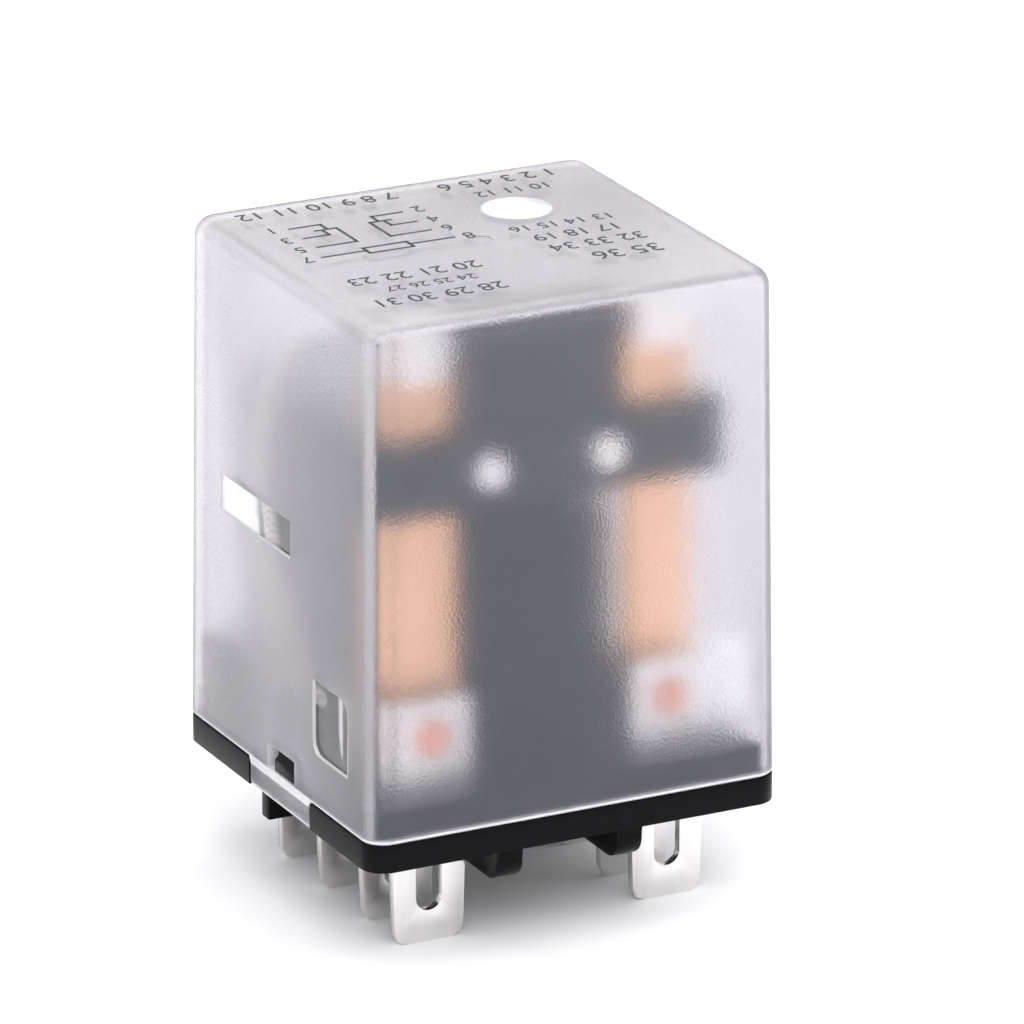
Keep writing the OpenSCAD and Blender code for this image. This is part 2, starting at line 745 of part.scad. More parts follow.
module coil_tape() {
  color("#1b1c1e") translate([0, bobbin_y, winding_z]) difference() {
    round_block(winding_w + 2 * tape_t + 0.1, winding_d + 2 * tape_t + 0.1, winding_h, 3.2 + tape_t + 0.05);
    translate([0, 0, -1]) round_block(winding_w + 0.1, winding_d + 0.1, winding_h + 2, 3.25);
  }
}

// Pan-head screw from below, through the base and the yoke into the core.
module core_screw() {
  head_z = seat_z + head_recess;
  head_t = 1.7;
  slot = [3, 0.7, 1.6];
  color("silver") translate([0, bobbin_y, 0]) difference() {
    union() {
      translate([0, 0, head_z - head_t]) cylinder(d = head_d, h = head_t);
      translate([0, 0, head_z - eps]) cylinder(d = screw_d, h = floor_z + screw_reach - head_z);
    }
    for (turn = [0, 90]) {
      rotate(turn) translate([0, 0, head_z - head_t]) cube(slot, center = true);
    }
  }
}

// Close-wound return spring behind the yoke, as the outline of its turns.
module return_spring() {
  low_z = hook_z + 0.05;
  high_z = pole_z + 0.4;
  color("silver") translate([0, hinge_y + 1, low_z]) difference() {
    cylinder(d = return_coil_d, h = high_z - low_z);
    translate([0, 0, -1]) cylinder(d = return_coil_d - 2 * return_wire_d, h = high_z - low_z + 2);
  }
}

// ---- Leads --------------------------------------------------------------------------------------

module flexible_lead(side) {
  color("#e9e7e4") on_side(side) tube(flexible_route, lead_d);
}

module coil_lead(side) {
  color("#b0562a") on_side(side) tube(coil_route, coil_lead_d);
}

cover();
base();
core_screw();
nc_terminal(LEFT);  // nc_terminal_left
nc_terminal(RIGHT);  // nc_terminal_right
no_terminal(LEFT);  // no_terminal_left
no_terminal(RIGHT);  // no_terminal_right
com_terminal(LEFT);  // com_terminal_left
com_terminal(RIGHT);  // com_terminal_right
coil_terminal(LEFT);  // coil_terminal_left
coil_terminal(RIGHT);  // coil_terminal_right
nc_contact(LEFT);  // nc_contact_left
nc_contact(RIGHT);  // nc_contact_right
no_contact(LEFT);  // no_contact_left
no_contact(RIGHT);  // no_contact_right
moving_spring(LEFT);  // moving_spring_left
moving_spring(RIGHT);  // moving_spring_right
moving_contact(LEFT);  // moving_contact_left
moving_contact(RIGHT);  // moving_contact_right
lead_tag(LEFT);  // lead_tag_left
lead_tag(RIGHT);  // lead_tag_right
carrier();
carrier_rivets();
armature();
yoke();
core();
shading_ring();
bobbin();
coil_winding();
coil_tape();
return_spring();
flexible_lead(LEFT);  // flexible_lead_left
flexible_lead(RIGHT);  // flexible_lead_right
coil_lead(LEFT);  // coil_lead_left
coil_lead(RIGHT);  // coil_lead_right
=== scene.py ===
"""Plug-in control relay: the finished pieces of its case, contact set and magnet, with their materials."""

import json
import math

import bpy
from bpy.props import FloatProperty, FloatVectorProperty, IntProperty, PointerProperty
from bpy.types import Operator, Panel, PropertyGroup
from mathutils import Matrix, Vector


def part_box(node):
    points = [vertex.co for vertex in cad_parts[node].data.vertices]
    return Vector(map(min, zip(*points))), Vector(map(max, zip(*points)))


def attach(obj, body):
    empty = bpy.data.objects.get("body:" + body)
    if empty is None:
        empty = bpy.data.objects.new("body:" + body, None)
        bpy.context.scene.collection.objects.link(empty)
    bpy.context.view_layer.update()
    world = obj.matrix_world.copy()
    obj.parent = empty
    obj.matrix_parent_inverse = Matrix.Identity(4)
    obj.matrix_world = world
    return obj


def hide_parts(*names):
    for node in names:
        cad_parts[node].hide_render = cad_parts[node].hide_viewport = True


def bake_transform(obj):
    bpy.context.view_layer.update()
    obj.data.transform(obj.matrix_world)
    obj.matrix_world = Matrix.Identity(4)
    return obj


bl_info = {
    "name": "Plug-in control relay",
    "version": (1, 0, 0),
    "blender": (4, 5, 0),
    "location": "3D View > Sidebar > Relay",
    "description": "Builds the clear case, base, contacts, springs, armature and magnet of a plug-in relay",
    "category": "Add Mesh",
}

MM = 0.001
X, Y, Z = 0, 1, 2
CLOSE = 0.00002  # corners this near to a plane count as on it
PAST = 1 * MM  # how far a cutter reaches past what it cuts
TUCK = 0.1 * MM  # how far two united solids overlap
STAMPED = 0.08 * MM  # rounding of a stamped edge
MOULDED = 0.2 * MM  # rounding of a small moulded or headed edge
HEADED = 0.25 * MM  # rounding of a fixed contact's rim
SIDES = {"left": -1, "right": 1}

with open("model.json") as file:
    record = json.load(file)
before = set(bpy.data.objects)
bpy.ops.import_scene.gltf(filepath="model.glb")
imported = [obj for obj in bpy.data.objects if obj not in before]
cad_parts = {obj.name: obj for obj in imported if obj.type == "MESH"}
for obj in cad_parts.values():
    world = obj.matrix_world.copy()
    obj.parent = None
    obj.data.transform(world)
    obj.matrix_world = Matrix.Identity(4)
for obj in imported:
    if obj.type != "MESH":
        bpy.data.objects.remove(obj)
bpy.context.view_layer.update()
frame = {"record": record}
SEAT_Z = next(m["pos_m"][Z] for m in frame["record"]["mounts"] if m["name"] == "seat")
HINGE = next(j for j in frame["record"]["behaviour"]["joints"] if j["name"] == "armature_hinge")


def length(millimetres, label):
    """A size property given in millimetres and kept in metres."""
    return FloatProperty(name=label, default=millimetres * MM, unit="LENGTH", precision=5)


def angle(degrees, label):
    """An angle property given in degrees and kept in radians."""
    return FloatProperty(name=label, default=math.radians(degrees), subtype="ANGLE")


def linear(hex_colour):
    """An sRGB hex colour as linear red, green, blue and alpha."""
    values = [int(hex_colour[i : i + 2], 16) / 255 for i in (1, 3, 5)]
    return [v / 12.92 if v <= 0.04045 else ((v + 0.055) / 1.055) ** 2.4 for v in values] + [1.0]


def colour(hex_colour, label):
    """A colour property given as sRGB hex."""
    return FloatVectorProperty(name=label, default=linear(hex_colour), size=4, min=0, max=1, subtype="COLOR")


# ---- Sizes and colours ----


class CaseSizes(PropertyGroup):
    """Sizes of the clear case."""

    wall: length(1.0, "Thickness of the case's wall")
    corner: length(2.1, "Radius of the upright corners")
    inner_corner: length(0.5, "Radius of the case's edges inside")
    top_edge: length(1.7, "Rounding round the top")
    lean: length(0.5, "How far each side leans in over its height")
    flange: length(2.4, "Thickness of the base's flange, which the case stands on")
    tongue_width: length(11.7, "Width of the latch tongue on each side")
    tongue_middle: length(-0.55, "Middle of the tongue, front to back")
    latch_front: length(14.7, "Distance from the front of the case to the latch window")
    latch_width: length(5.2, "Width of the latch window")
    latch_height: length(2.2, "Height of the latch window")
    latch_bottom: length(2.8, "Bottom of the latch window above the seat")
    pane_front: length(4.6, "Distance from the front of the case to the pane beside the contacts")
    pane_bottom: length(7.05, "Bottom of the pane above the seat")
    pane_width: length(6.6, "Width of the pane")
    pane_height: length(6.55, "Height of the pane")
    pane_round: length(1.3, "Radius of the pane's two round corners")
    panel_front: length(15.6, "Distance from the front of the case to the polished panel")
    panel_width: length(13.7, "Width of the polished panel")
    panel_height: length(3.3, "Height of the polished panel")
    panel_bottom: length(22.6, "Bottom of the polished panel above the seat")
    recess: length(0.3, "Depth of the polished pane, the panel and the round mark")
    rim: length(0.4, "Rounding of the rim and the tongues")
    mark: length(6.0, "Diameter of the polished round mark on top")
    mark_x: length(6.6, "Place of the round mark from side to side")
    mark_y: length(6.3, "Place of the round mark from front to back")
    gate: length(2.2, "Diameter of the moulding gate's mark in the middle of the top")
    ink: length(0.02, "Thickness of the print on top")


class BaseSizes(PropertyGroup):
    """Sizes of the black base."""

    plinth: length(2.8, "Height of the plinth above the flange")
    gap: length(0.15, "Gap between the plinth and the case's inner wall")
    rib_thick: length(2.4, "Thickness of the ribs that run front to back")
    rib_gap: length(11.1, "Distance between the middles of the long ribs")
    rib_round: length(2.0, "Radius of the lower front corner of a long rib")
    cross_thick: length(1.5, "Thickness of the rib that runs across")
    rear_height: length(4.8, "Height of the rear wall above the plinth")
    rear_thick: length(1.75, "Thickness of the rear wall")
    barrier_width: length(14.8, "Width of the barrier between the poles")
    barrier_wall: length(1.2, "Thickness of the barrier")
    slot_gap: length(0.05, "Gap round a terminal in its slot")
    screw_recess: length(6.4, "Diameter of the recess for the screw's head")
    screw_hole: length(3.4, "Diameter of the hole for the screw")
    rib_front: length(1.4, "Distance from the base's front to the long ribs")
    edge: length(0.3, "Rounding of the moulding's edges")


class ContactSizes(PropertyGroup):
    """Sizes of the terminals, contacts, springs and their carrier."""

    tab_width: length(6.3, "Width of a terminal tab")
    tab_corner: length(1.1, "Cut of the tab's lower corners")
    shoulder: length(0.4, "Extra width of the blade on each side inside the case")
    slot_width: length(2.4, "Width of the long hole in a tab")
    slot_length: length(5.0, "Length of the long hole in a tab")
    slot_tip: length(2.75, "Distance from the tab's tip to the long hole")
    contact_level: length(18.7, "Height of the contacts' middles")
    contact: length(4.0, "Diameter of the contact heads")
    shank: length(2.0, "Diameter of the contact rivets' shanks")
    tail: length(3.2, "Diameter of the contact rivets' closed tails")
    ear: length(1.9, "Width of the ear where a lead is soldered")
    ear_step: length(2.2, "Height of the low blades above the floor")
    rivet: length(3.3, "Diameter of the carrier rivets' heads")
    rivet_pitch: length(10.8, "Distance between the carrier's rivets")
    upright: length(15.2, "Width of the carrier's upright")
    bar_height: length(6.6, "Height of the carrier's crossbar")
    blade_round: length(0.5, "Rounding of a blade's top corners")
    spring_tip: length(1.6, "Rounding of a spring's lower corners")
    flap: length(4.2, "Length of the front flap of a spring's tag")
    bar_round: length(0.35, "Rounding of the carrier's crossbar")
    upright_step: length(0.6, "Step from the crossbar's front back to the upright")
    upright_round: length(1.0, "Rounding of the upright's top corners")
    rivet_crown: length(0.85, "Rounding of the carrier rivets' heads")
    rivet_shank: length(1.8, "Diameter of the carrier rivets' shanks")
    rivet_tail: length(2.8, "Diameter of the carrier rivets' tails")


class MagnetSizes(PropertyGroup):
    """Sizes of the armature, yoke, core and coil."""

    plate: length(2.0, "Thickness of the armature's plate")
    leg_width: length(15.0, "Width of the armature's front leg")
    leg: length(1.6, "Thickness of the armature's front leg")
    neck: length(4.0, "Length over which the plate narrows to its leg")
    tail_width: length(5.0, "Width of the armature's tail")
    yoke: length(2.8, "Thickness of the yoke")
    yoke_foot: length(14.3, "Width of the yoke's foot")
    core: length(8.0, "Diameter of the core")
    pole: length(1.8, "Thickness of the core's pole face")
    stem: length(5.0, "Diameter of the core's stem")
    ring: length(1.1, "Width of the shading ring's band")
    flange: length(1.2, "Thickness of the bobbin's flanges")
    wire: length(0.3, "Diameter of the return spring's wire")
    turns: IntProperty(name="Turns of the return spring", default=30, min=10, max=60)
    lead: length(1.6, "Diameter of the flexible leads")
    coil_lead: length(0.6, "Diameter of the coil's own leads")
    bend: length(1.2, "Outer radius of the armature's bend")
    neck_round: length(1.5, "Rounding where the armature's plate begins to narrow")
    corner: length(1.0, "Rounding of the ends of the armature's leg and the yoke's foot")
    yoke_bend: length(1.4, "Outer radius of the yoke's bend")
    yoke_rise: length(6.0, "Height above its foot at which the yoke's leg widens")
    hook: length(2.4, "Width of the yoke's hook for the return spring")
    hook_drop: length(13.2, "Distance from the yoke's top down to its hook")
    hook_reach: length(1.6, "How far the hook stands out behind the yoke")
    winding_round: length(3.2, "Radius of the winding's upright corners")
    tape_round: length(3.6, "Radius of the tape's upright corners")
    screw_head: length(1.7, "Thickness of the screw's head")
    screw: length(3.0, "Diameter of the screw's stem")
    cross: length(3.0, "Width of the screw's cross recess")
    cross_slot: length(0.7, "Width of each slot of the cross recess")
    cross_depth: length(0.8, "Depth of the cross recess")


class Finishes(PropertyGroup):
    """Colours of the main materials."""

    clear: colour("#F8F5F8", "Tint of the clear case")
    black: colour("#0C0D0F", "Colour of the black mouldings")
    tin: colour("#EAE8E6", "Colour of the plated terminals")
    copper: colour("#FFCCA2", "Colour of the moving springs")
    ink: colour("#3F3F44", "Colour of the print on top")


class StudioSettings(PropertyGroup):
    """Camera and light."""

    azimuth: angle(-26.65, "Camera's angle round the relay")
    elevation: angle(19.72, "Camera's angle above the floor")
    distance: length(775.7, "Distance from the camera to its aim")
    lens: FloatProperty(name="Focal length of the camera in millimetres", default=327.1, min=10)
    sky: FloatProperty(name="Brightness of the white room overhead", default=1.45, min=0)
    horizon: FloatProperty(name="Brightness of the white room at floor level", default=0.42)


# ---- Modelling by hand ----


def focus(obj):
    """Makes one object the only selected one, and the active one."""
    bpy.ops.object.select_all(action="DESELECT")
    obj.select_set(True)
    bpy.context.view_layer.objects.active = obj


def add(kind, name, **settings):
    """Adds a primitive at its size and place, and keeps its place in its mesh."""
    bpy.ops.object.select_all(action="DESELECT")
    getattr(bpy.ops.mesh, f"primitive_{kind}_add")(**settings)
    obj = bpy.context.active_object
    obj.name = obj.data.name = name
    bpy.ops.object.transform_apply(location=True, rotation=True, scale=True)
    return obj


def block(name, low, high):
    """Box between its lowest and its highest corner."""
    low, high = Vector(low), Vector(high)
    return add("cube", name, size=1, location=(low + high) / 2, scale=high - low)


def rod(name, start, axis, span, diameter, vertices=48):
    """Cylinder from the middle of its first face along one axis."""
    centre = Vector(start)
    centre[axis] += span / 2
    turn = {X: (0, math.pi / 2, 0), Y: (math.pi / 2, 0, 0), Z: (0, 0, 0)}[axis]
    size = {"vertices": vertices, "radius": diameter / 2, "depth": abs(span)}
    return add("cylinder", name, location=centre, rotation=turn, **size)


def outward(side, near, far):
    """Lowest and highest X between two distances from the middle, on one side."""
    return sorted((side * near, side * far))


def middle(corners, *axes):
    """Middle of a box along each of the axes."""
    low, high = corners
    return [(low[axis] + high[axis]) / 2 for axis in axes]


def on(axis, value):
    """Test for what lies in a plane across an axis."""
    return lambda points: all(abs(p[axis] - value) < CLOSE for p in points)


def beyond(axis, value, sign=1):
    """Test for what lies past a plane across an axis."""
    return lambda points: all((p[axis] - value) * sign > -CLOSE for p in points)


def along(*axes):
    """Test for an edge that runs mostly along one of the axes."""
    def test(points):
        step = points[0] - points[1]
        return any(abs(step[a]) > 0.9 * step.length for a in axes)
    return test


def all_of(*tests):
    """Test that passes where every test does."""
    return lambda points: all(test(points) for test in tests)


def any_of(*tests):
    """Test that passes where some test does."""
    return lambda points: any(test(points) for test in tests)


def shallow(axis, limit):
    """Test for what reaches no further than a limit along an axis."""
    return lambda points: max(p[axis] for p in points) - min(p[axis] for p in points) < limit


def everything(points):
    """Test that always passes."""
    return True


def shape(obj, kind, test, operator, **settings):
    """Runs an edit-mode operator on the corners, edges or faces that pass the test."""
    focus(obj)
    mesh = obj.data
    groups = {"VERT": mesh.vertices, "EDGE": mesh.edges, "FACE": mesh.polygons}
    for group in groups.values():
        group.foreach_set("select", [False] * len(group))
    bpy.context.tool_settings.mesh_select_mode = [kind == k for k in groups]
    found = 0
    for item in groups[kind]:
        ends = [item.index] if kind == "VERT" else item.vertices
        if test([mesh.vertices[i].co for i in ends]):
            item.select = True
            found += 1
    if not found:
        raise RuntimeError(f"{obj.name}: no {kind.lower()} passes the test for {operator.idname_py()}")
    bpy.ops.object.mode_set(mode="EDIT")
    operator(**settings)
    bpy.ops.object.mode_set(mode="OBJECT")
    return obj


def bevel(obj, test, width, segments=2):
    """Rounds the edges that pass the test."""
    return shape(obj, "EDGE", test, bpy.ops.mesh.bevel, offset=width, segments=segments, affect="EDGES")


def extrude(obj, test, move):
    """Extrudes the faces that pass the test."""
    return shape(obj, "FACE", test, bpy.ops.mesh.extrude_region_move, TRANSFORM_OT_translate={"value": move})


def resize(obj, test, value):
    """Scales the faces that pass the test about their middle."""
    return shape(obj, "FACE", test, bpy.ops.transform.resize, value=value)


def split(obj, axis, value, **settings):
    """Cuts a mesh with a plane across an axis, and closes it where only the part past the plane is kept."""
    point, normal = Vector(), Vector()
    point[axis], normal[axis] = value, 1
    return shape(obj, "FACE", everything, bpy.ops.mesh.bisect, plane_co=point, plane_no=normal, **settings)


def apply_modifier(obj, kind, **settings):
    """Adds a modifier and applies it."""
    focus(obj)
    modifier = obj.modifiers.new(kind.title(), kind)
    for key, value in settings.items():
        setattr(modifier, key, value)
    bpy.ops.object.modifier_apply(modifier=modifier.name)
    return obj


def combine(obj, operation, *tools):
    """Cuts the tools out of a piece, or unites them with it, and removes them."""
    keep = "TRANSFER" if obj.data.materials else "INDEX"
    for tool in tools:
        apply_modifier(obj, "BOOLEAN", operation=operation, solver="EXACT", material_mode=keep, object=tool)
        bpy.data.objects.remove(tool, do_unlink=True)
    return obj


def join(pieces, name):
    """Joins pieces into one object."""
    focus(pieces[0])
    for piece in pieces:
        piece.select_set(True)
    bpy.ops.object.join()
    pieces[0].name = pieces[0].data.name = name
    return pieces[0]


def soften(obj, width, segments=2, angle=40):
    """Rounds every edge sharper than the angle."""
    return apply_modifier(
        obj, "BEVEL", width=width, segments=segments, limit_method="ANGLE", angle_limit=math.radians(angle)
    )


def copy_of(obj, name, move=(0, 0, 0), mirror=False):
    """Copy with its own mesh, moved or mirrored from left to right."""
    focus(obj)
    bpy.ops.object.duplicate(linked=False)
    copy = bpy.context.active_object
    copy.name = copy.data.name = name
    if mirror:
        copy.scale[X] = -1
    copy.location = move
    bpy.ops.object.transform_apply(location=True, rotation=True, scale=True)
    if mirror:
        shape(copy, "FACE", everything, bpy.ops.mesh.normals_make_consistent, inside=False)
    return copy


def wire(name, route, diameter, sides=12, steps=6):
    """Round wire along a smooth route, as a closed mesh."""
    data = bpy.data.curves.new(name, "CURVE")
    data.dimensions = "3D"
    spline = data.splines.new("BEZIER")
    spline.bezier_points.add(len(route) - 1)
    for point, place in zip(spline.bezier_points, route):
        point.co = place
        point.handle_left_type = point.handle_right_type = "AUTO"
    data.resolution_u = steps
    data.bevel_depth = diameter / 2
    data.bevel_resolution = sides // 4
    data.use_fill_caps = True
    obj = bpy.data.objects.new(name, data)
    bpy.context.scene.collection.objects.link(obj)
    focus(obj)
    bpy.ops.object.convert(target="MESH")
    obj = bpy.context.active_object
    shape(obj, "VERT", everything, bpy.ops.mesh.remove_doubles, threshold=0.001 * MM)
    return shape(obj, "FACE", everything, bpy.ops.mesh.normals_make_consistent, inside=False)


def paint(obj, slot, test):
    """Gives the faces that pass the test another of the piece's materials."""
    for face in obj.data.polygons:
        if test([obj.data.vertices[i].co for i in face.vertices]):
            face.material_index = slot
    return obj


def coat(obj, *finishes):
    """Gives a piece its materials."""
    for name in finishes:
        obj.data.materials.append(finish(name))
    return obj


def place(obj, body, nodes, slot, *finishes, smooth=40):
    """Gives a finished piece its materials and its body, and hides the nodes that it stands for."""
    coat(obj, *finishes)
    focus(obj)
    bpy.ops.object.shade_smooth_by_angle(angle=math.radians(smooth))
    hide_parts(*nodes)
    if body:
        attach(obj, body)
    return obj


def place_pair(left, body, node, slot, *finishes):
    """Places a left piece, and its mirrored copy on the right."""
    right = copy_of(left, left.name.replace("left", "right"), mirror=True)
    for side, obj in (("left", left), ("right", right)):
        place(obj, body, [f"{node}_{side}"], slot, *finishes)
    return left, right


# ---- Materials ----


def add_node(tree, kind, settings=None, links=None):
    """Adds a node, gives it its settings and socket values, and links its sockets."""
    node = tree.nodes.new(kind)
    for key, value in (settings or {}).items():
        if isinstance(key, int) or key in node.inputs:
            node.inputs[key].default_value = value
        else:
            setattr(node, key, value)
    for key, source in (links or {}).items():
        tree.links.new(source, node.inputs[key])
    return node


def surface(name, light, dark, roughness, grain, depth, sockets, stretch=(1, 1, 1), mottle=8):
    """A finish from its recipe: colour, roughness and relief vary at the real size of its grain."""
    light = linear(light) if light.startswith("#") else getattr(bpy.context.scene.relay_finishes, light)
    dark = linear(dark) if isinstance(dark, str) else [v * dark for v in light[:3]] + [1.0]
    grain = grain * MM
    material = bpy.data.materials.new(name)
    material.use_nodes = True
    tree = material.node_tree
    tree.nodes.clear()
    where = add_node(tree, "ShaderNodeTexCoord")
    drawn = add_node(tree, "ShaderNodeMapping", {"Scale": stretch}, {"Vector": where.outputs["Object"]})
    grained, mottled = {"Scale": 1 / grain, "Detail": 3.0, "Roughness": 0.6}, {"Scale": 1 / (mottle * grain)}
    fine = add_node(tree, "ShaderNodeTexNoise", grained, {"Vector": drawn.outputs[0]})
    broad = add_node(tree, "ShaderNodeTexNoise", mottled, {"Vector": drawn.outputs[0]})
    shade = add_node(tree, "ShaderNodeValToRGB", links={"Fac": broad.outputs["Fac"]})
    for stop, position, value in zip(shade.color_ramp.elements, (0.35, 0.65), (dark, light)):
        stop.position = position
        stop.color = value
    spread = {"From Min": 0.3, "From Max": 0.7, "To Min": roughness[0], "To Max": roughness[1]}
    matt = add_node(tree, "ShaderNodeMapRange", spread, {"Value": fine.outputs["Fac"]})
    relief = add_node(tree, "ShaderNodeBump", {"Distance": depth * MM}, {"Height": fine.outputs["Fac"]})
    links = {
        "Base Color": shade.outputs["Color"],
        "Roughness": matt.outputs["Result"],
        "Normal": relief.outputs["Normal"],
    }
    shader = add_node(tree, "ShaderNodeBsdfPrincipled", sockets, links)
    add_node(tree, "ShaderNodeOutputMaterial", links={"Surface": shader.outputs["BSDF"]})
    return material


METAL = {"Metallic": 1.0}
PLASTIC = {"Metallic": 0.0}
CLEAR = {"Transmission Weight": 1.0, "IOR": 1.5}
MILKY = {"Transmission Weight": 0.35, "IOR": 1.5}
# FROSTED tints the case's reflections blue: a painted cool cast on the reflected light, which the white room
# and lamps don't give.
FROSTED = {
    "Transmission Weight": 0.96, "IOR": 1.5, "Specular Tint": linear("#CDDDFF"), "Specular IOR Level": 0.42,
}
# For each finish: its light colour, or the setting that holds it; its dark colour, or what share of the light
# one it is; the range of its roughness; the size of its grain and the depth of its relief in millimetres; its
# shader's sockets; how far the grain is squeezed along X, Y and Z; and its mottling in grains.
RECIPES = {
    # Case: from a spark-eroded mould, so it is milky and blurs what lies behind it with distance.
    "frosted_polycarbonate": ("clear", 0.97, (0.34, 0.44), 0.26, 0.09, FROSTED),
    # Its inside, from a polished core: smooth, with faint flow waves.
    "inner_polycarbonate": ("#FCFBFE", "#F6F5F9", (0.06, 0.14), 1.5, 0.004, CLEAR),
    # Polished spots of its mould: clear as glass, with a light orange-peel wave.
    "polished_polycarbonate": ("#FFFFFF", "#FAF9FC", (0.0, 0.03), 2.0, 0.002, CLEAR),
    # Edges of its wall at the rim and the windows, and the round mark: painted highlight, a milky white that
    # stands in for the light they catch and reflect.
    "cut_polycarbonate": ("#FFFFFF", "#F4F2F8", (0.3, 0.45), 0.2, 0.006, MILKY),
    # Base: glass-filled nylon from a fine-textured mould, satin black with soft broad highlights.
    "black_nylon": ("black", 0.75, (0.26, 0.36), 0.18, 0.004, {"Specular IOR Level": 0.08}),
    # Carrier: phenolic moulding, dull black with a slight sheen on its flats.
    "black_carrier": ("#141518", "#0E0F11", (0.42, 0.6), 0.2, 0.008, PLASTIC),
    # Terminals: brass strip, tin plated after stamping, bright with faint rolling lines along the blade.
    "tin_plated_brass": ("tin", 0.95, (0.2, 0.26), 0.25, 0.0006, METAL, (3, 3, 0.6)),
    # Springs: hard-rolled copper alloy strip, warm orange pink, satin along the rolling direction.
    "rolled_copper": ("copper", 0.85, (0.24, 0.38), 0.3, 0.0015, METAL, (5, 5, 0.3)),
    # Copper body of a contact rivet, headed cold: pinkish and slightly rough from the die.
    "copper_rivet": ("#FFBFA6", "#F0A488", (0.3, 0.42), 0.2, 0.004, METAL),
    # Silver alloy facing of a contact: white and soft, with a satin bloom.
    "silver_contact": ("#F1EFEA", "#D9D6CF", (0.22, 0.36), 0.3, 0.003, METAL),
    # Armature and core: soft iron with bright zinc, cool grey with a faint grain.
    "zinc_plated_steel": ("#9A9CA1", "#7F8287", (0.28, 0.42), 0.3, 0.003, METAL),
    # Nickel-plated rivet heads: bright and almost mirror smooth.
    "nickel_rivet": ("#F4F3F1", "#E2E1DF", (0.1, 0.2), 0.4, 0.001, METAL),
    # Yoke: annealed iron with a dark oxide skin, brown-grey and dull, with rolling streaks.
    "blackened_iron": ("#6A6866", "#55534F", (0.4, 0.56), 0.35, 0.004, {"Metallic": 0.8}, (3, 3, 0.5)),
    # Unfilled nylon of the bobbin: charcoal with a waxy sheen.
    "bobbin_nylon": ("#34363A", "#27292C", (0.3, 0.45), 0.25, 0.004, PLASTIC),
    # Polyester tape round the winding: glossy black film that lies in slight wrinkles.
    "polyester_tape": ("#24262A", "#191A1D", (0.16, 0.32), 0.9, 0.03, PLASTIC, (1, 1, 0.5)),
    # Drawn steel wire: bright grey with fine lines along it.
    "drawn_spring_wire": ("#C9CACC", "#A9AAAD", (0.2, 0.32), 0.1, 0.002, METAL),
    # Pad-printed ink: grey, thin and matt, with a slightly starved edge.
    "printed_ink": ("ink", 0.8, (0.5, 0.7), 0.12, 0.002, PLASTIC, (1, 1, 1), 3),
    # Winding of enamelled wire: dark orange, in even turns.
    "enamelled_copper_wire": ("#B4602C", "#8E4519", (0.2, 0.35), 0.3, 0.002, {"Metallic": 0.6}),
    # White glass-fibre sleeve: matt, in a plain weave.
    "woven_sleeve": ("#FFFFFE", "#F4F2EE", (0.75, 0.9), 0.3, 0.004, PLASTIC),
    # Matt white paper.
    "studio_floor": ("#FCFCFD", "#F9F9FB", (0.8, 0.95), 1.0, 0.0, {"Specular IOR Level": 0.0}),
}
# For each finish with turns or threads: the tilt of each set of bands, then in millimetres their period and
# their relief, and the colour between them, a painted shade for the grooves.
BANDS = {
    "enamelled_copper_wire": ((0,), 0.25, 0.08, "#5A2A10"),
    "woven_sleeve": ((40, -40), 0.5, 0.06, "#C9C5BF"),
}


def add_bands(material, tilts, period, amount, dark):
    """Darkens a finish in thin bands, a painted shade in the grooves between turns and threads, and gives
    them relief.
    """
    tree = material.node_tree
    shader = next(n for n in tree.nodes if n.type == "BSDF_PRINCIPLED")
    where = next(n for n in tree.nodes if n.type == "TEX_COORD")
    height = None
    for tilt in tilts:
        turn = {"Rotation": (math.radians(tilt), 0, 0)}
        drawn = add_node(tree, "ShaderNodeMapping", turn, {"Vector": where.outputs["Object"]})
        spacing = {"Scale": math.pi / 10 / (period * MM), "bands_direction": "Z"}
        wave = add_node(tree, "ShaderNodeTexWave", spacing, {"Vector": drawn.outputs[0]}).outputs["Fac"]
        if height is not None:
            both = {0: height, 1: wave}
            wave = add_node(tree, "ShaderNodeMath", {"operation": "MULTIPLY"}, both).outputs[0]
        height = wave
    plain = {key: shader.inputs[key].links[0].from_socket for key in ("Base Color", "Normal")}
    mix = {"data_type": "RGBA", "B": linear(dark)}
    # The dark colour mixed in here is painted shade in the grooves.
    tint = add_node(tree, "ShaderNodeMix", mix, {0: height, "A": plain["Base Color"]})
    raised = {"Height": height, "Normal": plain["Normal"]}
    relief = add_node(tree, "ShaderNodeBump", {"Distance": amount * MM}, raised)
    tree.links.new(tint.outputs["Result"], shader.inputs["Base Color"])
    tree.links.new(relief.outputs["Normal"], shader.inputs["Normal"])


def finish(name):
    """The material of that name, made when it is first asked for."""
    if name not in bpy.data.materials:
        material = surface(name, *RECIPES[name])
        if name in BANDS:
            add_bands(material, *BANDS[name])
    return bpy.data.materials[name]


# ---- Case ----


CASE_LOW, CASE_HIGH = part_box("cover")
PAINTED_HIGHLIGHT_FACES, POLISHED_FACES = 2, 3  # places of these finishes among the case's materials


